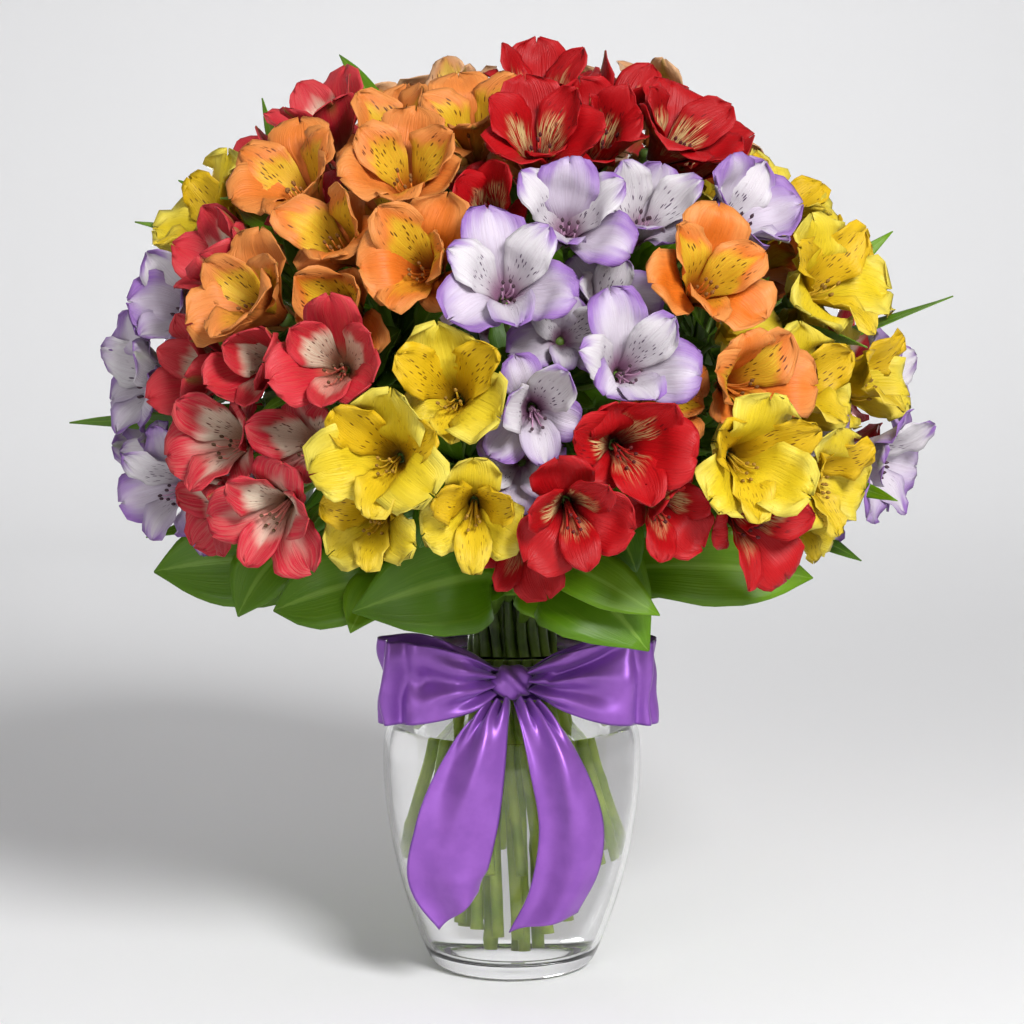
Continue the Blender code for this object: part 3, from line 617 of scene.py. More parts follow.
# the pattern on a tepal. A pair is where a change starts and ends, across or along the tepal as shares of it
petalPattern = {
    "cloudWidth": 1.3,
    "cloudScale": 2.2,
    "edgeCloud": 0.36,
    "edgeReach": (0.42, 0.68),
    "edgeBlend": (0.08, 0.50),
    "innerCloud": 0.30,
    "innerBlend": 0.20,
    "streakWidth": (13.0, 2.2),
    "streakEnds": (0.44, 0.56),
    "throat": (0.08, 0.44),
    "throatDepth": 0.92,
    "veinWidth": (9.0, 0.9),
    "veinEnds": (0.42, 0.62),
    "veinDepth": 0.20,
    "dashWidth": (8.0, 7.6, 7.0),
    "dashEnds": (0.18, 0.30),
    "dashStart": (0.16, 0.30),
    "dashFade": 0.12,
    "dashSides": (0.66, 0.90),
    "dashDepth": 0.9,
    "flushSides": (0.05, 0.32),
    "flushLength": (0.62, 0.98),
    "flushDepth": 0.55,
    "flush": (120, 140, 60),
}


def petalMaterial(kind):
    c = dict(zip(petalRows, petalColours[kind]))
    p = petalPattern

    def shaded(colour):
        # a screen colour made darker: the linear one times a share
        return tuple(np.array(paint(*colour)) * (petalShade, petalShade, petalShade, 1.0))

    body, other, edge, own, throat, fleck = (shaded(c[label]) for label in petalRows[:6])
    material, shader = newMaterial("petal_" + kind, Roughness=0.50, Specular_IOR_Level=0.26)
    across, along, inner = split(shader, "place")
    seed, tone, behind = split(shader, "chance")
    side = abs(across)
    # slow cloudy change, different on every tepal
    cloud = noise(joined(across * p["cloudWidth"], along, seed), p["cloudScale"], 1.0)
    # tips and edges: further out and nearer to the rim takes more of the edge's colour
    reach = side * p["edgeReach"][0] + along * p["edgeReach"][1] + (cloud - 0.5) * p["edgeCloud"]
    rim = ramp(reach, c["edgeStart"] + p["edgeBlend"][0], c["edgeStart"] + p["edgeBlend"][1])
    outer = mix(rim, mix(tone, body, other), edge)
    # the narrow inner tepals have their own colour, up to where their tips and edges turn to the outer one
    innerReach = side * c["innerSide"] + along + (cloud * p["innerCloud"] - 0.10)
    tip = ramp(innerReach, c["innerTip"], c["innerTip"] + p["innerBlend"])
    fine = noise(joined(across * p["streakWidth"][0], along * p["streakWidth"][1], seed), 1.6, 1.0)
    streak = ramp(fine, *p["streakEnds"], (1.0 - c["streaks"], 1.0))
    colour = mix(inner, outer, mix(streak * (1.0 - tip), outer, own))
    # the throat is darker: painted shade of the deep funnel, partly the throat's own deeper colour
    colour = mix(ramp(along, *p["throat"], (p["throatDepth"], 0.0)), colour, throat)
    # fine veins that run the length of the tepal
    vein = noise(joined(across * p["veinWidth"][0], along * p["veinWidth"][1], seed), 2.6, 2.0)
    veinColour = tuple((np.array(throat) + body) / 2)
    colour = mix(ramp(vein, *p["veinEnds"]) * p["veinDepth"], colour, veinColour)
    # dashes along the veins, mostly on the two upper inner tepals
    cells = joined(across * p["dashWidth"][0], along * p["dashWidth"][1], seed * p["dashWidth"][2])
    dots = add("TexVoronoi", {"Vector": cells, "Scale": 1.0, "Randomness": 0.85})[0]
    window = ramp(along, *p["dashStart"])
    window = window * ramp(along, c["fleckEnd"], c["fleckEnd"] + p["dashFade"], (1.0, 0.0))
    window = window * ramp(side, *p["dashSides"], (1.0, 0.0))
    share = inner * (1.0 - c["outerFleck"]) + c["outerFleck"]
    flecks = ramp(dots, *p["dashEnds"], (1.0, 0.0)) * window * share
    colour = mix(flecks * ((1.0 - behind) * p["dashDepth"]), colour, fleck)
    # outer sides: a green flush along the midrib towards the tip
    flush = ramp(side, *p["flushSides"], (1.0, 0.0)) * ramp(along, *p["flushLength"])
    colour = mix(flush * (behind * p["flushDepth"]), colour, shaded(p["flush"]))
    connect(colour, shader, "Base Color")
    bump(shader, vein, 0.6, 0.0007)
    return material


# lengthwise fibres of stalks and stems: how much they are stretched, how fine and how deep they are
fibres = {"stretch": (1.0, 1.0, 0.06), "scale": 900.0, "strength": 0.35, "depth": 0.0004, "cloudScale": 60.0}


def plantMaterial(name, first, second, roughness=0.5, above=None):
    # two close tones that change along the part, for a stem darker ones above the neck as painted shade, and
    # fibres
    material, shader = newMaterial(name, Roughness=roughness)
    where = objectPlace(shader)
    cloud = ramp(noise(where, fibres["cloudScale"], 4.0), 0.3, 0.7)
    colour = mix(cloud, paint(*first), paint(*second))
    # painted shade: above the neck the stem takes the darker tones
    if above:
        height = add("SeparateXYZ", {0: where})[2]
        shadeAboveNeck = mix(cloud, paint(*above["first"]), paint(*above["second"]))
        colour = mix(ramp(height, *above["heights"]), colour, shadeAboveNeck)
    connect(colour, shader, "Base Color")
    stretched = add("Mapping", {"Vector": where, "Scale": fibres["stretch"]})[0]
    bump(shader, noise(stretched, fibres["scale"], 2.0), fibres["strength"], fibres["depth"])
    return material


# one tepal's form for the outer, broad ones and the inner, slim ones
tepalForms = {
    "broad": {"foot": 0.0024, "height": 0.0056, "length": 0.0405, "leaves": 25.0, "arrives": 98.0,
              "bend": 1.6, "half": 0.0137, "claw": 0.26, "clawEnd": 0.04, "widest": 0.70, "round": 2.3,
              "cup": 0.22, "trough": 0.0009, "notch": 0.075},
    "slim": {"foot": 0.0020, "height": 0.0060, "length": 0.0395, "leaves": 24.0, "arrives": 58.0, "bend": 2.2,
             "half": 0.0096, "claw": 0.36, "clawEnd": 0.12, "widest": 0.66, "round": 2.0, "cup": 0.36,
             "trough": 0.0006, "notch": -0.03},
}
# what each kind of flower does to those forms: width of the broad and of the slim tepals, frill of the rim,
# wave of the blade, and how far the flower opens
habitRows = ("broad", "slim", "frill", "wave", "open")
bloomHabits = {
    "orange": (1.08, 1.14, 0.16, 0.24, 1.00),
    "peach": (1.06, 1.10, 0.14, 0.22, 1.00),
    "red": (1.04, 1.02, 0.12, 0.24, 0.94),
    "coral": (0.88, 0.98, 0.10, 0.18, 0.84),
    "pink": (0.94, 1.02, 0.14, 0.20, 0.92),
    "lilac": (0.98, 1.04, 0.16, 0.26, 1.02),
    "yellow": (1.08, 0.98, 0.28, 0.24, 1.02),
}
# flowers that are only half open, by their azimuth and elevation, and how far
halfOpen = {
    (-25, 17): 0.62, (-40, 17): 0.60, (-57, 15): 0.62, (-57, 32): 0.55, (-82, 49): 0.66, (-72, 60): 0.60,
    (-102, 58): 0.60, (16, 75): 0.62, (26, 58): 0.66, (6, 54): 0.74, (66, 57): 0.60, (60, 70): 0.66,
    (28, 43): 0.72, (50, 41): 0.72, (-75, 38): 0.80,
}
# some flowers lean more to their second colour, the others at most a third of the way
flowerTones = {
    (-44, 25): 0.9, (-30, 26): 0.15, (-12, 61): 0.7, (-22, 47): 0.6, (-42, 62): 0.5, (-49, 45): 0.4,
}
bloom = {
    "seed": 21,
    "funnelDepth": 0.034,
    "thickness": 0.0006,
    "grid": (15, 11),
    "innerGrid": (11, 7),
    "coarseGrid": (7, 5),
    "lengths": (0.94, 1.04),
    "widths": (0.92, 1.06),
    "opens": (0.84, 1.16),
    "tones": (0.0, 0.35),
    "turns": 0.09,
    # the lowest of the inner tepals bends down further than the two above it, which carry the markings
    "lowest": 4,
    "lowestOpens": 1.30,
    "lowestWidth": 0.90,
    "markings": (1.0, 0.0, 1.0, 0.0, 0.45, 0.0),
    "pressSoftness": 0.0008,
    "slack": 0.0022,
    "closings": (0, 6, 12, 18, 24),
    "shares": (1.08, 1.0, 0.92, 0.84, 0.76, 0.68),
    # what standing out costs for each metre, being smaller for each share, and how many degrees closed cost 1
    "costs": {"out": 1000, "smaller": 9, "closed": 12},
    # flowers of the lowest row are smaller and a little higher than their solids, those on top a little lower
    "lowRow": {"below": 0, "size": 0.90, "rise": 0.006},
    "crown": {"above": 70, "size": 0.94, "rise": -0.006},
}
# the surface of a tepal: how many scallops, ripples and waves it has, and how wide its notch and trough are
blade = {
    "closedBy": 0.35,
    "tipStarts": 0.55,
    "scallopDepth": 0.22,
    "scallops": 8.5,
    "notchWidth": 0.24,
    "bluntness": 0.012,
    "ripples": 3.4,
    "waves": 0.9,
    "skew": 0.08,
    "troughWidth": 0.16,
}


def tepalGrid(form, habit, flare, closing, share, chance, rows, columns):
    # a tepal that grows along +X of a flower whose axis is +Z. Its midline leaves the foot at one angle from
    # the axis and arrives at the tip at another. The half width grows from the claw to the widest place and
    # rounds off to the tip, whose middle is notched or pointed. The edges lift by the cup times the width,
    # the rim ripples by the frill, and the whole blade undulates by the wave
    s = np.linspace(0, 1, rows)[:, None]
    v = np.linspace(-1, 1, columns)[None, :]
    fine = np.linspace(0, 1, 60)
    heading = form["leaves"] + (form["arrives"] - form["leaves"]) * fine ** form["bend"]
    heading = np.radians(heading - closing * smoothStep(0.0, blade["closedBy"], fine))
    step = form["length"] * share / (len(fine) - 1)
    middles = 0.5 * (heading[1:] + heading[:-1])
    r = form["foot"] + flare * np.concatenate([[0], np.cumsum(np.sin(middles) * step)])
    z = form["height"] + np.concatenate([[0], np.cumsum(np.cos(middles) * step)])
    scallop = blade["scallopDepth"] * habit["frill"] * np.sin(blade["scallops"] * v + 3 * chance[1])
    notch = form["notch"] * ridge(v, blade["notchWidth"])
    at = s * (1 - smoothStep(blade["tipStarts"], 1.0, s) * (notch + scallop))
    heading, r, z = (np.interp(at, fine, row) for row in (heading, r, z))
    half = form["claw"] + (1 - form["claw"]) * smoothStep(form["clawEnd"], form["widest"], s)
    past = np.clip((s - form["widest"]) / (1 - form["widest"]), 0, 1)
    half = half * np.sqrt(np.maximum(1 - past ** form["round"], blade["bluntness"]))
    half = half * form["half"] * share
    ripple = np.sin(2 * math.pi * (blade["ripples"] * s + 0.25 * np.sign(v) + 0.4 * chance[1]))
    ripple = habit["frill"] * ripple * np.abs(v) ** 3
    sway = np.sin(2 * math.pi * (blade["waves"] * s + 0.5 * chance[2])) * np.cos(1.7 * v + 1.4 * chance[3])
    sway = habit["wave"] * sway
    cup = form["cup"] * (1 + 0.5 * chance[3]) * v**2 * (1 - 0.8 * smoothStep(0.5, 1.0, s))
    skew = blade["skew"] * chance[0] * v * smoothStep(0.2, 1.0, s)
    lift = half * (cup + smoothStep(0.3, 0.7, s) * (ripple + sway) + skew)
    trough = form["trough"] * ridge(v, blade["troughWidth"]) * smoothStep(0.1, 0.4, s)
    lift = lift - trough
    return np.stack([r - lift * np.cos(heading), half * v + 0 * r, z + lift * np.sin(heading)], axis=-1)


def overshoot(points, planes):
    # how far the points stand past their room, at worst
    return max((gap - ((points - middle) @ normal).min() for middle, normal, gap in planes), default=0.0)


def pressed(points, planes):
    # points past a plane move back to it, softly: by the softened ramp of how far past they are
    soft = bloom["pressSoftness"]
    for middle, normal, gap in planes:
        past = gap - (points - middle) @ normal
        push = soft * np.logaddexp(0, past / soft)
        points = points + (push * (past > -4 * soft))[..., None] * normal
    return points


def makeTepals(flower, toWorld, planes, draw):
    # each tepal takes the form that fits its room best: full size and open cost nothing, standing out much
    grids, marks, chances = [], [], []
    costs = bloom["costs"]
    habit = dict(zip(habitRows, bloomHabits[flower["colour"]]))
    rows, columns = bloom["innerGrid"] if "inner" in flower else bloom["grid"]
    for k in range(6):
        name = "broad" if k % 2 else "slim"
        form = dict(tepalForms[name])
        form["half"] *= habit[name]
        form["length"] *= draw.uniform(*bloom["lengths"])
        form["half"] *= draw.uniform(*bloom["widths"])
        form["arrives"] *= draw.uniform(*bloom["opens"]) * habit["open"] * flower["open"]
        if k == bloom["lowest"]:
            form["arrives"] *= bloom["lowestOpens"]
            form["half"] *= bloom["lowestWidth"]
        shape = draw.uniform(-1, 1, 4)
        turn = math.radians(60 * k + 30) + draw.uniform(-bloom["turns"], bloom["turns"])
        cos, sin = math.cos(turn), math.sin(turn)
        around = np.array([[cos, -sin, 0], [sin, cos, 0], [0, 0, 1]])
        best = None
        for share in bloom["shares"]:
            for closing in bloom["closings"]:
                coarse = tepalGrid(form, habit, flower["flare"], closing, share, shape, *bloom["coarseGrid"])
                past = overshoot(toWorld(coarse.reshape(-1, 3) @ around.T), planes)
                cost = max(0.0, past - bloom["slack"]) * costs["out"] + closing / costs["closed"]
                cost = cost + (bloom["shares"][0] - share) * costs["smaller"]
                if best is None or cost < best[0]:
                    best = (cost, closing, share)
        grid = tepalGrid(form, habit, flower["flare"], best[1], best[2], shape, rows, columns)
        grids.append(pressed(toWorld(grid @ around.T), planes))
        mark = gridPlaces(rows, columns)
        mark[..., 2] = bloom["markings"][k]
        marks.append(mark)
        chance = np.zeros((2, rows, columns, 3))
        chance[..., 0] = draw.uniform(0, 40)
        chance[..., 1] = flower["tone"]
        chance[1, ..., 2] = 1.0
        chances.append(chance)
    points, faces = thinShells(grids, bloom["thickness"])
    return points, faces, 0, np.concatenate(marks).reshape(-1, 3), np.concatenate(chances).reshape(-1, 3)


stamen = {
    "turns": 20,
    "spread": (0.0022, 0.0050),
    "heights": (0.023, 0.029),
    "hangs": 0.0045,
    "foot": (0.0010, 0.0075),
    "start": (0, -0.002, 0.008),
    "arrive": (0, 0.002, 0.008),
    "tilt": 0.002,
    "anther": (-0.0008, 0.0018),
    "radii": (0.00050, 0.00034),
    "antherRadii": (0.0003, 0.0007, 0.0008, 0.0006, 0.0002),
    # each thread and anther has a second, darker tone
    "darker": 0.9,
    "antherDarker": 0.8,
    "antherRoughness": 0.8,
}
stalk = {
    "sink": 0.0015,
    "straight": 0.45,
    "radii": (0.0011, 0.0012),
    "tones": ((104, 132, 50), (84, 112, 40)),
    # the ovary under the funnel: distances along the axis, and radii from the end of the stalk on
    "ovary": (0.0006, 0.0024, 0.0044, 0.0062),
    "ovaryRadii": (0.0016, 0.0026, 0.0034, 0.0032, 0.0010),
}


def makeStamens(toWorld, draw):
    # six filaments that rise from the throat and bow down a little, each with an anther on its end
    paths, anthers = [], []
    for k in range(6):
        turn = math.radians(60 * k + draw.uniform(-stamen["turns"], stamen["turns"]))
        cos, sin = math.cos(turn), math.sin(turn)
        spread = draw.uniform(*stamen["spread"])
        end = np.array([spread * cos, -stamen["hangs"] + spread * sin, draw.uniform(*stamen["heights"])])
        radius, height = stamen["foot"]
        start = np.array([radius * cos, radius * sin, height])
        path = bezier(start, start + stamen["start"], end - stamen["arrive"], end, 6)
        paths.append(path)
        tilt = unit(path[-1] - path[-2] + 0.5 * draw.uniform(-stamen["tilt"], stamen["tilt"], 3))
        anthers.append(end + np.linspace(*stamen["anther"], 5)[:, None] * tilt)
    threads = tubes([toWorld(path) for path in paths], np.linspace(*stamen["radii"], 6), 5)
    tips = tubes([toWorld(path) for path in anthers], np.array(stamen["antherRadii"]), 6)
    return [(*threads, 1), (*tips, 2)]


def makeStalk(flower, base):
    # the flower's own stalk, from the umbel to the ovary under the funnel
    umbel = flower["umbel"]
    root = umbel + stalk["sink"] * unit(base - umbel)
    bend = base - stalk["straight"] * np.linalg.norm(base - umbel) * flower["axis"]
    path = bezier(root, root + 0.66 * (bend - root), bend + 0.34 * (base - bend), base, 12)
    ovary = base + np.array(stalk["ovary"])[:, None] * flower["axis"]
    radii = np.concatenate([np.linspace(*stalk["radii"], 11), stalk["ovaryRadii"]])
    return (*tubes([np.vstack([path, ovary])], radii, 8), 3)


threadColours = {
    # filaments, anthers
    "orange": ((220, 132, 52), (132, 86, 34)), "peach": ((228, 156, 86), (140, 96, 48)),
    "red": ((206, 52, 46), (92, 24, 26)), "coral": ((224, 130, 110), (98, 70, 40)),
    "pink": ((226, 140, 128), (98, 70, 44)), "lilac": ((206, 160, 190), (78, 52, 64)),
    "yellow": ((222, 184, 50), (156, 118, 36)),
}


def makeHeads():
    draw = np.random.default_rng(bloom["seed"])
    green = plantMaterial("stalk_green", *stalk["tones"])
    made = {}
    for kind, (thread, anther) in threadColours.items():
        filament = plantMaterial("filament_" + kind, thread, np.array(thread) * stamen["darker"])
        pollen = plantMaterial("anther_" + kind, anther, np.array(anther) * stamen["antherDarker"],
                               stamen["antherRoughness"])
        made[kind] = [petalMaterial(kind), filament, pollen, green]
    low, crown = bloom["lowRow"], bloom["crown"]
    for head, (name, colour, _) in enumerate(heads):
        parts = []
        for flower in (f for f in flowers + innerFlowers if f["head"] == head):
            side, up, axis = flowerFrame(flower)
            place = (flower["azimuth"], flower["elevation"])
            flower["tone"] = flowerTones.get(place, draw.uniform(*bloom["tones"]))
            flower["open"] = halfOpen.get(place, 1.0)
            change = {"size": 1.0, "rise": 0.0}
            if place[1] < low["below"]:
                change = low
            elif place[1] > crown["above"]:
                change = crown
            size = flower["size"] * change["size"]
            base = flower["mouth"] - bloom["funnelDepth"] * size * axis + np.array([0.0, 0.0, change["rise"]])

            def toWorld(local):
                local = local * size
                return base + local[..., :1] * side + local[..., 1:2] * up + local[..., 2:] * axis

            planes = roomPlanes(flower, flowers + innerFlowers if "inner" in flower else flowers)
            parts.append(makeTepals(flower, toWorld, planes, draw))
            if "inner" not in flower:
                parts.extend(makeStamens(toWorld, draw))
            parts.append(makeStalk(flower, base))
        settle(makePiece("blooms_" + name, parts, made[colour]), "head_" + name)


makeHeads()
print("blooms made")


# stems and leaves

stems = {
    "low": ((186, 208, 78), (136, 166, 40)),
    # painted shade: deep green above the neck, where the flowers shade them
    "high": {"heights": (0.128, 0.156), "first": (96, 118, 36), "second": (56, 76, 20)},
    "radius": 0.0024,
    "narrows": 0.86,
    "joints": {"apart": 0.034, "shift": 0.013, "swell": 0.22, "length": 0.0016},
    "knuckleRadii": (0.0030, 0.0040, 0.0026),
    "neckRoom": 0.0195,
    "spacing": 0.0064,
    "spreadingRounds": 400,
    "neckHeight": 0.143,
    "twist": math.radians(24),
    "footSpread": (0.98, 1.15),
    "footHeight": (0.0105, 0.042),
    "easeLow": (0.3, 0.65),
    "easeHigh": (0.35, 0.40),
    "knuckleStart": -0.0042,
    "knuckleEnd": 0.003,
    "straightEnd": 0.006,
    "gap": 0.0003,
}
# leaves under the flowers: stem, height on it, middle, tip, width, and where the upper side looks
skirtLeaves = [
    ("yellow_low", 0.176, (-0.024, -0.091, 0.194), (-0.069, -0.093, 0.180), 0.050, (-5, 10)),
    ("pink_low", 0.168, (-0.060, -0.074, 0.186), (-0.070, -0.086, 0.170), 0.024, (-15, 20)),
    ("pink_low", 0.186, (-0.078, -0.072, 0.187), (-0.106, -0.068, 0.177), 0.036, (-25, 15)),
    ("coral_left", 0.180, (-0.108, -0.050, 0.195), (-0.123, -0.056, 0.173), 0.034, (-35, 5)),
    ("lilac_low_left", 0.176, (-0.118, -0.026, 0.194), (-0.163, -0.020, 0.187), 0.046, (-25, 10)),
    ("lilac_low_left", 0.192, (-0.110, 0.006, 0.208), (-0.170, 0.004, 0.203), 0.018, (-60, 40)),
    ("red_low", 0.168, (0.030, -0.094, 0.194), (0.059, -0.104, 0.165), 0.054, (5, 10)),
    ("lilac_middle", 0.172, (0.014, -0.078, 0.190), (0.038, -0.094, 0.174), 0.032, (0, 10)),
    ("yellow_low", 0.166, (-0.020, -0.064, 0.188), (-0.044, -0.080, 0.182), 0.034, (-20, 40)),
    ("red_low", 0.162, (0.034, -0.060, 0.188), (0.064, -0.074, 0.184), 0.036, (20, 40)),
    ("pink_low", 0.164, (-0.044, -0.044, 0.188), (-0.080, -0.050, 0.186), 0.034, (-50, 40)),
    ("yellow_low_right", 0.164, (0.060, -0.040, 0.188), (0.092, -0.052, 0.186), 0.034, (50, 40)),
    ("red_low", 0.186, (0.032, -0.108, 0.199), (0.063, -0.116, 0.183), 0.026, (12, 20)),
    ("yellow_low_right", 0.180, (0.088, -0.080, 0.198), (0.132, -0.072, 0.192), 0.036, (25, 12)),
    ("lilac_right", 0.182, (0.128, -0.030, 0.207), (0.160, -0.024, 0.194), 0.014, (40, 30)),
    ("pink_back", 0.172, (0.092, 0.052, 0.198), (0.140, 0.070, 0.186), 0.034, (115, 50)),
    ("pink_back", 0.186, (0.054, 0.088, 0.202), (0.084, 0.132, 0.192), 0.028, (145, 50)),
    ("yellow_back", 0.174, (0.014, 0.098, 0.198), (0.026, 0.150, 0.186), 0.036, (170, 50)),
    ("lilac_back", 0.174, (-0.036, 0.092, 0.198), (-0.050, 0.142, 0.184), 0.034, (205, 50)),
    ("red_back", 0.176, (-0.088, 0.058, 0.198), (-0.128, 0.082, 0.186), 0.032, (240, 50)),
]
leafForms = {
    "seed": 5,
    "grid": (24, 9),
    "whorlGrid": (12, 7),
    "rootLift": 0.9,
    "rootEnds": 0.30,
    "thickness": 0.0007,
    "crease": 0.16,
    "ripples": 2.3,
    "waves": {"broad": 0.0012, "slim": 0.0006, "whorl": 0.001},
    "curls": {"broad": (0.0, 0.004), "whorl": (-0.002, 0.004)},
    "tones": {"broad": (0.15, 0.6), "slim": (0.25, 0.7)},
    # share of the full width at points along the blade
    "broad": ((0.0, 0.28, 0.48, 0.68, 0.83, 0.93, 1.0), (0.06, 0.62, 1.0, 0.90, 0.60, 0.26, 0.02)),
    "slim": ((0.0, 0.25, 0.45, 0.70, 0.90, 1.0), (0.12, 0.42, 0.78, 1.0, 0.50, 0.04)),
    "whorl": ((0.0, 0.20, 0.45, 0.70, 0.90, 1.0), (0.20, 0.55, 0.98, 0.90, 0.42, 0.03)),
}
# leaves round each umbel, spread out under it and upright between its flowers: distances from the umbel
# outwards and along its axis, where a pair is drawn between its two numbers
umbelLeaves = [
    {"count": 8, "turns": 0.25, "root": -0.004, "out": (0.036, 0.047), "middleOut": (0.0, 0.5),
     "middleUp": (0.004, 0.010), "up": (0.004, 0.020), "widths": (0.018, 0.024), "tones": (0.0, 0.20),
     "looks": "up"},
    {"count": 4, "turns": 0.3, "root": -0.003, "out": (0.020, 0.032), "middleOut": (0.012, 0.0),
     "middleUp": 0.024, "up": (0.042, 0.052), "widths": (0.011, 0.015), "tones": (0.1, 0.5),
     "looks": "in"},
]


def neckPlaces():
    axes = [next(f["umbelAxis"] for f in flowers if f["head"] == head) for head in range(len(heads))]
    places = np.array([a[:2] * stems["neckRoom"] for a in axes])
    for _ in range(stems["spreadingRounds"]):
        for i in range(len(places)):
            for j in range(i + 1, len(places)):
                apart = places[i] - places[j]
                distance = np.linalg.norm(apart) + 1e-9
                if distance < stems["spacing"]:
                    push = 0.5 * (stems["spacing"] - distance) * apart / distance
                    places[i] += push
                    places[j] -= push
        reach = np.linalg.norm(places, axis=1)
        places *= np.minimum(1.0, stems["neckRoom"] / np.maximum(reach, 1e-9))[:, None]
    return places


def stemPath(place, umbel, axis):
    # from the cut end through the neck to the umbel: two cubic curves and a short straight end. Also the
    # upper curve in few steps, for the leaves that leave it at its end
    reach = np.linalg.norm(place) / stems["neckRoom"]
    cos, sin = math.cos(stems["twist"]), math.sin(stems["twist"])
    twisted = np.array([place[0] * cos - place[1] * sin, place[0] * sin + place[1] * cos])
    near, far = stems["footSpread"]
    low, high = stems["footHeight"]
    foot = np.array([*(twisted * (near + far * reach**4)), low + high * reach**4])
    neck = np.array([*place, stems["neckHeight"]])
    first, second = (foot + share * (neck - foot) for share in stems["easeLow"])
    leaving = unit(neck - bezier(foot, first, second, neck, 4)[-2])
    length = np.linalg.norm(umbel - neck)
    leave = neck + stems["easeHigh"][0] * length * leaving
    arrive = umbel - stems["easeHigh"][1] * length * axis
    end = umbel + (stems["knuckleStart"] - stems["gap"]) * axis
    below = end - stems["straightEnd"] * axis
    down, up = bezier(foot, first, second, neck, 22), bezier(neck, leave, arrive, below, 22)
    knuckle = umbel + stems["knuckleEnd"] * axis
    return np.vstack([down[:-1], up, end, knuckle]), bezier(neck, leave, arrive, below, 4)


def leafGrid(root, middle, tip, width, face, form, draw):
    # a blade on the quadratic curve through three points: across it lies square to the curve and to the way
    # its face looks. Both halves rise from the midrib by the crease, and the edges ripple by the wave
    rows, columns = leafForms["whorlGrid" if form == "whorl" else "grid"]
    curl = draw.uniform(*leafForms["curls"][form]) if form in leafForms["curls"] else 0.0
    phase = draw.uniform()
    # the curve passes its middle halfway, and a broad blade's as far along as the middle is from both ends
    to, on = np.linalg.norm(middle - root), np.linalg.norm(tip - middle)
    m = to / (to + on) if form == "broad" else 0.5
    control = (middle - (1 - m) ** 2 * root - m**2 * tip) / (2 * m * (1 - m))
    t = np.linspace(0, 1, rows)[:, None]
    line = (1 - t) ** 2 * root + 2 * t * (1 - t) * control + t**2 * tip
    along = unit(np.gradient(line, axis=0))
    lifted = leafForms["rootLift"] * (1 - smoothStep(0.0, leafForms["rootEnds"], t))
    lifted = lifted * np.array([0.0, 0.0, 1.0])
    across = unit(np.cross(unit(face + (form == "broad") * lifted), along))
    up = np.cross(along, across)
    line = line - curl * smoothStep(0.6, 1.0, t) ** 2 * up
    # the widths, smoothed over nine neighbours
    fine = np.interp(np.linspace(0, 1, 4 * rows), *leafForms[form])
    kernel = np.hanning(9) / np.hanning(9).sum()
    smooth = np.convolve(np.pad(fine, 4, mode="edge"), kernel, mode="valid")
    smooth[0], smooth[-1] = fine[0], fine[-1]
    share = np.interp(t[:, 0], [0, m, 1], [0, 0.5, 1])
    half = 0.5 * width * np.interp(share, np.linspace(0, 1, 4 * rows), smooth)[:, None]
    v = np.linspace(-1, 1, columns)[None, :]
    lift = half * leafForms["crease"] * (np.sqrt(v**2 + 0.02) - 0.14)
    ripple = np.sin(2 * math.pi * (leafForms["ripples"] * t + phase) + 1.2 * np.sign(v)) * v**2
    lift = lift + leafForms["waves"][form] * ripple * half / (0.5 * width)
    return line[:, None] + (half * v)[..., None] * across[:, None] + lift[..., None] * up[:, None]


def leafMaterial():
    material, shader = newMaterial("leaf_green", Roughness=0.38, Specular_IOR_Level=0.28)
    across, along, _ = split(shader, "place")
    seed, tone, behind = split(shader, "chance")
    vein = noise(joined(across * 10.0, along * 0.7, seed), 2.4, 2.0)
    cloud = noise(joined(across, along * 2.0, seed), 2.0, 4.0)
    colour = mix(tone, paint(52, 92, 2), paint(116, 156, 14))
    # deeper clouds, pale veins, a pale midrib and a paler back
    for factor, shade in (
        (ramp(cloud, 0.35, 0.70, (0.0, 0.5)), (76, 118, 14)),
        (ramp(vein, 0.50, 0.66, (0.0, 0.14)), (122, 156, 52)),
        (ramp(abs(across), 0.03, 0.12, (0.45, 0.0)), (132, 166, 66)),
        (behind * 0.45, (112, 140, 60)),
    ):
        colour = mix(factor, colour, paint(*shade))
    connect(colour, shader, "Base Color")
    bump(shader, vein, 0.3, 0.0006)
    return material


def leafPart(grids, tones, head):
    # blades of one size of grid as a part: where each point lies across and along, its number and its tone
    points, faces = thinShells(grids, leafForms["thickness"])
    mark = np.stack([gridPlaces(*grid.shape[:2]) for grid in grids])
    chance = np.zeros(mark.shape)
    chance[..., 0] = np.arange(len(grids))[:, None, None, None] * 3.7 + head
    chance[..., 1] = np.array(tones)[:, None, None, None]
    chance[:, 1, ..., 2] = 1.0
    return points, faces, 1, mark.reshape(-1, 3), chance.reshape(-1, 3)


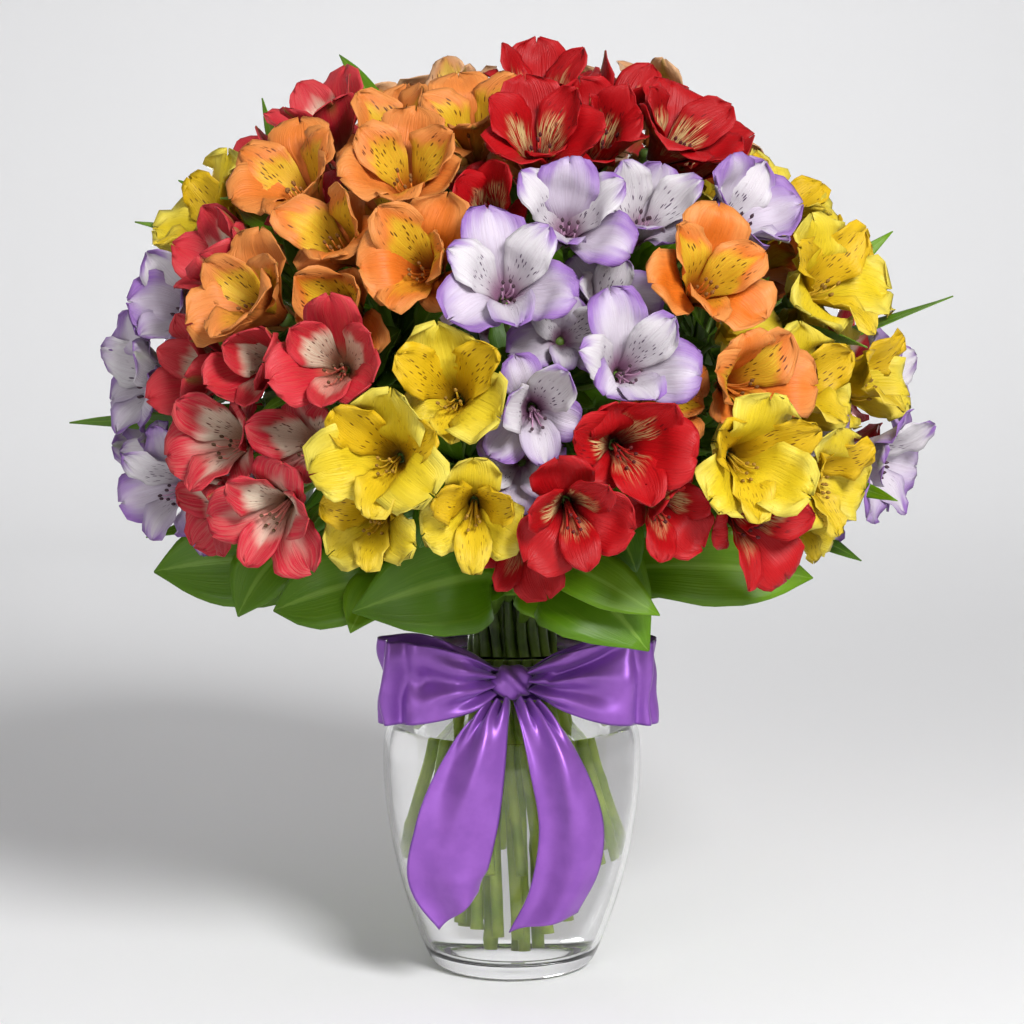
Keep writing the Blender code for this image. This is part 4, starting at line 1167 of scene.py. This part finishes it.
def makeGreenery():
    draw = np.random.default_rng(leafForms["seed"])
    places = neckPlaces()
    # the stems' own colours, with painted shade above the neck
    green = plantMaterial("stem_green", *stems["low"], 0.45, stems["high"])
    leaf = leafMaterial()
    joints = stems["joints"]
    for head, (name, _, _) in enumerate(heads):
        first = next(f for f in flowers if f["head"] == head)
        umbel, axis = first["umbel"], first["umbelAxis"]
        path, coarse = stemPath(places[head], umbel, axis)
        travelled = np.concatenate([[0], np.cumsum(np.linalg.norm(np.diff(path, axis=0), axis=1))])
        fine = np.linspace(0, travelled[-1], 64)
        line = np.stack([np.interp(fine, travelled, path[:, k]) for k in range(3)], axis=1)
        # the stem narrows towards its end and swells at each of its joints
        joint = np.abs((fine + joints["shift"] * head) % joints["apart"] - 0.5 * joints["apart"])
        swell = 1.0 + joints["swell"] * ridge(joint, joints["length"])
        radii = stems["radius"] * swell * np.linspace(1.0, stems["narrows"], 64)
        radii[-3:] = stems["knuckleRadii"]
        parts = [(*tubes([line], radii, 10), 0)]
        grids, tones = [], []
        for growsFrom, height, middle, tip, width, looks in skirtLeaves:
            if growsFrom == name:
                root = np.array([np.interp(height, path[:, 2], path[:, k]) for k in range(3)])
                middle, tip, face = np.array(middle), np.array(tip), directionOf(*looks)
                grids.append(leafGrid(root, middle, tip, width, face, "broad", draw))
                tones.append(draw.uniform(*leafForms["tones"]["broad"]))
        for growsFrom, middle, tip, width, normal in betweenLeaves:
            if growsFrom == head:
                root = coarse[-1] + 0.3 * (coarse[-2] - coarse[-1])
                grids.append(leafGrid(root, middle, tip, width, normal, "slim", draw))
                tones.append(draw.uniform(*leafForms["tones"]["slim"]))
        if grids:
            parts.append(leafPart(grids, tones, head))
        side = unit(np.cross(axis, np.array([0.3, 0.2, 0.9])))
        other = np.cross(axis, side)
        grids, tones = [], []
        for kind in umbelLeaves:
            for k in range(kind["count"]):
                turn = 2 * math.pi * (k + draw.uniform(-kind["turns"], kind["turns"])) / kind["count"]
                out = math.cos(turn) * side + math.sin(turn) * other
                reach = draw.uniform(*kind["out"])
                fixed, share = kind["middleOut"]
                rise = kind["middleUp"]
                if isinstance(rise, tuple):
                    rise = draw.uniform(*rise)
                root = umbel + kind["root"] * axis + 0.001 * out
                middle = umbel + (fixed + share * reach) * out + rise * axis
                tip = umbel + reach * out + draw.uniform(*kind["up"]) * axis
                looks = axis if kind["looks"] == "up" else -out
                grids.append(leafGrid(root, middle, tip, draw.uniform(*kind["widths"]), looks, "whorl", draw))
                tones.append(draw.uniform(*kind["tones"]))
        parts.append(leafPart(grids, tones, head + 0.5))
        settle(makePiece("greenery_" + name, parts, [green, leaf]), "stem_" + name)


makeGreenery()
print("stems and leaves made")


# vase and water

vase = {
    "outline": [
        (0.0335, 0.0000), (0.0375, 0.0022), (0.0416, 0.0100), (0.0488, 0.0300), (0.0546, 0.0520),
        (0.0586, 0.0760), (0.0599, 0.0980), (0.0578, 0.1130), (0.0480, 0.1275), (0.0405, 0.1370),
        (0.0398, 0.1430), (0.0425, 0.1500),
    ],
    "wall": 0.0026,
    "floor": 0.0075,
    "sides": 96,
    "waterLevel": 0.1130,
    "gap": 0.0003,
    "middle": 0.01,
    # where the thick floor meets the wall: how far above the floor, then points inwards and down from there
    "innerStart": 0.003,
    "corner": [(0.0008, 0.0016), (0.0030, 0.0028)],
    "floorFlat": 0.6,
    # the water: where its wall starts above the floor, its rounded lower edge, and its raised rim
    "waterStart": 0.004,
    "waterCorner": (0.0016, 0.0022),
    "waterFlat": 0.7,
    "waterRim": [(0.0012, 0.0003), (0.0040, 0.0)],
    "waterWallTop": 0.0012,
}


def innerLine(distance, low, high):
    # the outer wall moved inwards square to itself, between two heights
    line = smoothRows(vase["outline"], 120)
    along = unit(np.gradient(line, axis=0))
    moved = line + distance * np.stack([-along[:, 1], along[:, 0]], axis=1)
    heights = np.linspace(low, high, 60)
    order = np.argsort(moved[:, 1])
    return np.stack([np.interp(heights, moved[order, 1], moved[order, 0]), heights], axis=1)


def clearMaterial(name, bends):
    # glass or water, which bends light this much
    white = (1.0, 1.0, 1.0, 1.0)
    return newMaterial(name, Roughness=0.0, IOR=bends, Transmission_Weight=1.0, Base_Color=white)


def makeVase():
    material, shader = clearMaterial("clear_glass", 1.38)
    bump(shader, noise(objectPlace(shader), 24.0, 1.0), 0.06, 0.002)
    outer = smoothRows(vase["outline"], 90)
    outer = outer[outer[:, 1] >= -1e-6]
    rim = outer[-1]
    # the lip: most of a half circle as wide as the wall
    turn = np.linspace(0.2, math.pi - 0.2, 7)
    middle = rim - np.array([0.5 * vase["wall"], 0.0])
    lip = middle + 0.5 * vase["wall"] * np.stack([np.cos(turn), np.sin(turn)], axis=1)
    inner = innerLine(vase["wall"], vase["floor"] + vase["innerStart"], rim[1])[::-1]
    floor = list(inner[-1] - np.array(vase["corner"]))
    floor.extend([(vase["floorFlat"] * inner[-1, 0], vase["floor"]), (vase["middle"], vase["floor"])])
    points, faces = turned(np.vstack([outer, lip, inner, floor]), vase["sides"])
    settle(makePiece("glass_vase", [(points, faces, 0)], [material]), "vase")


def makeWater():
    material, _ = clearMaterial("clear_water", 1.25)
    level, bottom = vase["waterLevel"], vase["floor"] + vase["gap"]
    low, high = vase["floor"] + vase["waterStart"], level + vase["waterWallTop"]
    inner = innerLine(vase["wall"] + vase["gap"], low, high)
    start = [(vase["middle"], bottom), (vase["waterFlat"] * inner[0, 0], bottom)]
    start.append(inner[0] - vase["waterCorner"])
    surface = [(inner[-1, 0] - inwards, level + above) for inwards, above in vase["waterRim"]]
    surface.append((vase["middle"], level))
    points, faces = turned(np.vstack([start, inner, surface]), vase["sides"])
    settle(makePiece("vase_water", [(points, faces, 0)], [material]), "water")


makeVase()
makeWater()
print("vase and water made")


# ribbon

ribbon = {
    "width": 0.038,
    "thickness": 0.0006,
    "colours": ((142, 84, 178), (132, 76, 168)),
    "deep": (84, 42, 122),
    "deepest": 0.0036,
    # shares of the length, from the knot on, over which close pleats open into wide ones
    "opening": (0.04, 0.36),
    "knotMiddle": (0.0, -0.0486, 0.1415),
    "knotSize": (0.0180, 0.0130, 0.0170),
    "knotGrid": (40, 64),
    "knotFolds": {"slant": (0.62, 0.55, 0.12), "depth": 0.11, "many": 9.5, "flatter": 0.10},
    "bandHeights": (0.1330, 0.1475),
    "bandAngles": (-88, 268),
    "bandGap": 0.0007,
    "bandPleats": 3,
    # stations: place of the middle, half the width, rise of the width from left to right
    "loopRight": [
        (0.0088, -0.0510, 0.1420, 0.0060, 0.0), (0.0220, -0.0600, 0.1430, 0.0130, 0.0),
        (0.0420, -0.0640, 0.1435, 0.0180, 0.0), (0.0580, -0.0600, 0.1430, 0.0190, 0.0),
        (0.0640, -0.0530, 0.1428, 0.0190, 0.0), (0.0600, -0.0460, 0.1440, 0.0185, 0.0),
        (0.0440, -0.0420, 0.1460, 0.0165, 0.0), (0.0240, -0.0450, 0.1460, 0.0100, 0.0),
        (0.0100, -0.0470, 0.1430, 0.0050, 0.0),
    ],
    "loopLeft": [
        (-0.0088, -0.0510, 0.1420, 0.0060, 0.0), (-0.0200, -0.0600, 0.1420, 0.0130, 0.0),
        (-0.0380, -0.0640, 0.1430, 0.0175, 0.0), (-0.0530, -0.0600, 0.1430, 0.0190, 0.0),
        (-0.0585, -0.0530, 0.1430, 0.0190, 0.0), (-0.0550, -0.0460, 0.1440, 0.0185, 0.0),
        (-0.0410, -0.0420, 0.1460, 0.0165, 0.0), (-0.0230, -0.0450, 0.1460, 0.0100, 0.0),
        (-0.0100, -0.0470, 0.1430, 0.0050, 0.0),
    ],
    "tailLeft": [
        (-0.0070, -0.0525, 0.1334, 0.0060, 0.15), (-0.0130, -0.0600, 0.1230, 0.0115, 0.25),
        (-0.0195, -0.0650, 0.1020, 0.0165, 0.15), (-0.0245, -0.0660, 0.0800, 0.0186, 0.05),
        (-0.0285, -0.0655, 0.0570, 0.0180, 0.15), (-0.0235, -0.0635, 0.0400, 0.0125, 1.00),
    ],
    "tailRight": [
        (0.0070, -0.0520, 0.1336, 0.0060, -0.15), (0.0140, -0.0600, 0.1230, 0.0106, -0.25),
        (0.0215, -0.0655, 0.1020, 0.0137, -0.15), (0.0264, -0.0655, 0.0780, 0.0144, 0.05),
        (0.0232, -0.0650, 0.0540, 0.0157, 0.25), (0.0140, -0.0635, 0.0345, 0.0160, 0.30),
    ],
}
# folds on the loops and tails. A place is a share of the length and of the half width, followed by how far it
# spreads, and a depth is in metres
folds = {
    "dimple": {"place": (0.24, -0.05), "spread": (0.07, 0.45), "depth": 0.0050},
    "leftBend": {"at": 0.365, "sway": 0.016, "length": 0.060, "fold": 0.019, "depth": 0.0036},
    "rightBend": {"at": 0.375, "slant": 0.012, "length": 0.052, "fold": 0.018, "depth": 0.0030},
    "crease": {"from": 0.10, "slope": 3.2, "start": 0.06, "width": 0.16, "depth": 0.0040},
    "waves": {"depth": 0.0022, "starts": (0.06, 0.16)},
    "soft": {"depth": 0.0016, "from": 0.5, "slope": 0.9, "width": 0.22},
}


def pleatDepth(half, pleats):
    # how deep a wave across the ribbon must be for the ribbon's own width to fit in twice the half width: a
    # sine wave of steepest slope m is longer than its base by the mean root of 1 + (m cosine) squared
    slopes = np.linspace(0, 8, 200)
    turn = np.linspace(0, math.pi, 200)
    longer = np.sqrt(1 + (slopes[:, None] * np.cos(turn)) ** 2).mean(axis=1)
    m = np.interp(ribbon["width"] / (2 * half), longer, slopes)
    return m * half / (math.pi * pleats)


def ribbonGrid(stations, rows, pleats, upright, fold):
    # a strip whose middle follows the stations. Where it is narrower than the ribbon it lies in pleats: many
    # where it leaves the knot, fewer where it has opened
    table = smoothRows(stations, rows)
    middle, half, lean = table[:, :3], table[:, 3:4], table[:, 4]
    along = unit(np.gradient(middle, axis=0))
    if upright:
        width = np.broadcast_to(np.array([0.0, 0.0, 1.0]), middle.shape)
        width = unit(width - along * np.sum(width * along, axis=1, keepdims=True))
    else:
        width = unit(np.stack([np.ones(rows), np.zeros(rows), lean], axis=1))
    normal = unit(np.cross(along, width))
    v = np.linspace(-1, 1, 33)[None, :]
    u = np.linspace(0, 1, rows)[:, None]
    near = 1 - smoothStep(*ribbon["opening"], u)
    if upright:
        near = near + 1 - smoothStep(*ribbon["opening"], 1 - u)
    offset = fold(u, v)
    for count, share in ((pleats[0], near), (pleats[1], 1 - near)):
        depth = np.minimum(pleatDepth(np.minimum(half, 0.499 * ribbon["width"]), count), ribbon["deepest"])
        offset = offset + share * depth * np.sin(math.pi * count * v + 0.7)
    grid = middle[:, None] + (half * v)[..., None] * width[:, None] + offset[..., None] * normal[:, None]
    return grid, np.linalg.norm(np.diff(middle, axis=0), axis=1).sum()


def satinMaterial():
    material, shader = newMaterial("purple_satin", Roughness=0.42, Metallic=0.50, Sheen_Weight=0.15,
                                   Sheen_Roughness=0.4, Specular_IOR_Level=0.7)
    across, along, _ = split(shader, "place")
    cloud = noise(objectPlace(shader), 90.0, 3.0)
    colour = mix(ramp(cloud, 0.35, 0.65), *(paint(*tone) for tone in ribbon["colours"]))
    # the outermost few hundredths of the width on either side are a little darker
    colour = mix(ramp(abs(across), 0.93, 0.98, (0.0, 0.5)), colour, paint(*ribbon["deep"]))
    connect(colour, shader, "Base Color")
    threads = joined(across * 60.0, along * 9.0, 0.0)
    bump(shader, noise(threads, 3.0, 2.0), 0.12, 0.0002)
    return material


def leftFolds(u, v):
    # a dimple in the middle of the loop, a fold in the shape of an S near its outer end, and broad waves
    dimple, turn, waves = folds["dimple"], folds["leftBend"], folds["waves"]
    (place, middle), (long, wide) = dimple["place"], dimple["spread"]
    pressed = ridge(u - place, long) * ridge(v - middle, wide)
    bend = u - turn["at"] + turn["sway"] * np.sin(2.4 * v)
    fold = ridge(bend, turn["length"]) * np.sin(bend / turn["fold"])
    broad = np.sin(26 * u + 2.2 * v + 0.4) * smoothStep(*waves["starts"], u) * (1 - 0.5 * v**2)
    return dimple["depth"] * pressed - turn["depth"] * fold + waves["depth"] * broad


def rightFolds(u, v):
    # a crease from the knot up to the top edge, a narrow fold near the outer end, and broad waves
    crease, turn, waves = folds["crease"], folds["rightBend"], folds["waves"]
    line = v - crease["from"] - crease["slope"] * (u - crease["start"])
    creased = ridge(line, crease["width"]) * smoothStep(0.04, 0.10, u) * smoothStep(0.36, 0.26, u)
    bend = u - turn["at"] + turn["slant"] * v
    fold = ridge(bend, turn["length"]) * np.sin(bend / turn["fold"])
    broad = np.sin(22 * u - 1.8 * v + 0.6) * smoothStep(*waves["starts"], u) * (1 - 0.5 * v**2)
    return turn["depth"] * fold - crease["depth"] * creased + waves["depth"] * broad


def softFold(u, v):
    # a shallow fold that runs out of the knot and fades halfway down
    soft = folds["soft"]
    line = v - soft["from"] + soft["slope"] * u
    depth = soft["depth"] * ridge(line, soft["width"])
    return depth * smoothStep(0.10, 0.30, u) * smoothStep(0.75, 0.45, u)


def makeRibbonPiece(name, node, satin, grid, length):
    points, faces = thinShells([grid], ribbon["thickness"], rim=0.8)
    mark = gridPlaces(*grid.shape[:2], length / ribbon["width"])
    piece = settle(makePiece(name, [(points, faces, 0, mark.reshape(-1, 3))], [satin]), node)


def makeBow():
    satin = satinMaterial()
    # knot: an egg with slanting folds pressed into it
    pattern = ribbon["knotFolds"]
    rows, columns = ribbon["knotGrid"]
    turn = np.linspace(0, 2 * math.pi, columns, endpoint=False)[None, :]
    tilt = np.linspace(0.02, math.pi - 0.02, rows)[:, None]
    x, y, z = np.broadcast_arrays(np.sin(tilt) * np.cos(turn), np.sin(tilt) * np.sin(turn), np.cos(tilt))
    bySide, byHeight, byBoth = pattern["slant"]
    slant = bySide * x + byHeight * z + byBoth * x * z
    fold = pattern["depth"] * np.sin(pattern["many"] * slant + 1.2 * x**2) * np.sin(tilt) ** 0.5
    size = 1.0 + fold - pattern["flatter"] * z**4
    ball = np.stack([x, y, z], axis=-1) * size[..., None]
    points = (np.array(ribbon["knotMiddle"]) + ball * np.array(ribbon["knotSize"]) / 2).reshape(-1, 3)
    faces = [block[:, ::-1] for block in ringFaces(rows, columns)]
    mark = np.zeros((rows * columns, 3))
    mark[:, 1] = slant.ravel()
    settle(makePiece("bow_knot", [(points, faces, 0, mark)], [satin]), "ribbon_knot")

    # the loops stand upright, gathered at both ends, and the tails hang from the knot
    for name, stations, rows, pleats, fold, upright, held in (
        ("loop_left", "loopLeft", 110, (3, 2), leftFolds, True, "gathered"),
        ("loop_right", "loopRight", 110, (3, 2), rightFolds, True, "gathered"),
        ("tail_left", "tailLeft", 72, (3, 1), softFold, False, "hung"),
        ("tail_right", "tailRight", 72, (3, 1), softFold, False, "hung"),
    ):
        grid, length = ribbonGrid(ribbon[stations], rows, pleats, upright, fold)
        makeRibbonPiece("bow_" + name, "ribbon_" + name, satin, grid, length)

    # band: the ribbon gathered into the hollow of the neck, its two ends hidden behind the knot
    low, high = ribbon["bandHeights"]
    start, end = ribbon["bandAngles"]
    pleats = ribbon["bandPleats"]
    line = smoothRows(vase["outline"], 120)
    turn = np.linspace(math.radians(start), math.radians(end), 160)[:, None]
    v = np.linspace(-1, 1, 41)[None, :]
    height = 0.5 * (low + high) + 0.5 * (high - low) * v
    wave = pleatDepth(np.array([[0.5 * (high - low)]]), pleats)
    wave = wave * (1 + np.sin(math.pi * pleats * v + 0.35 * np.sin(5 * turn)))
    reach = np.interp(height, line[:, 1], line[:, 0]) + ribbon["bandGap"] + wave
    grid = np.stack(np.broadcast_arrays(reach * np.cos(turn), reach * np.sin(turn), height), axis=-1)
    length = math.radians(end - start) * float(reach.mean())
    makeRibbonPiece("bow_band", "ribbon_band", satin, grid[::-1], length)


makeBow()
print("bow made")
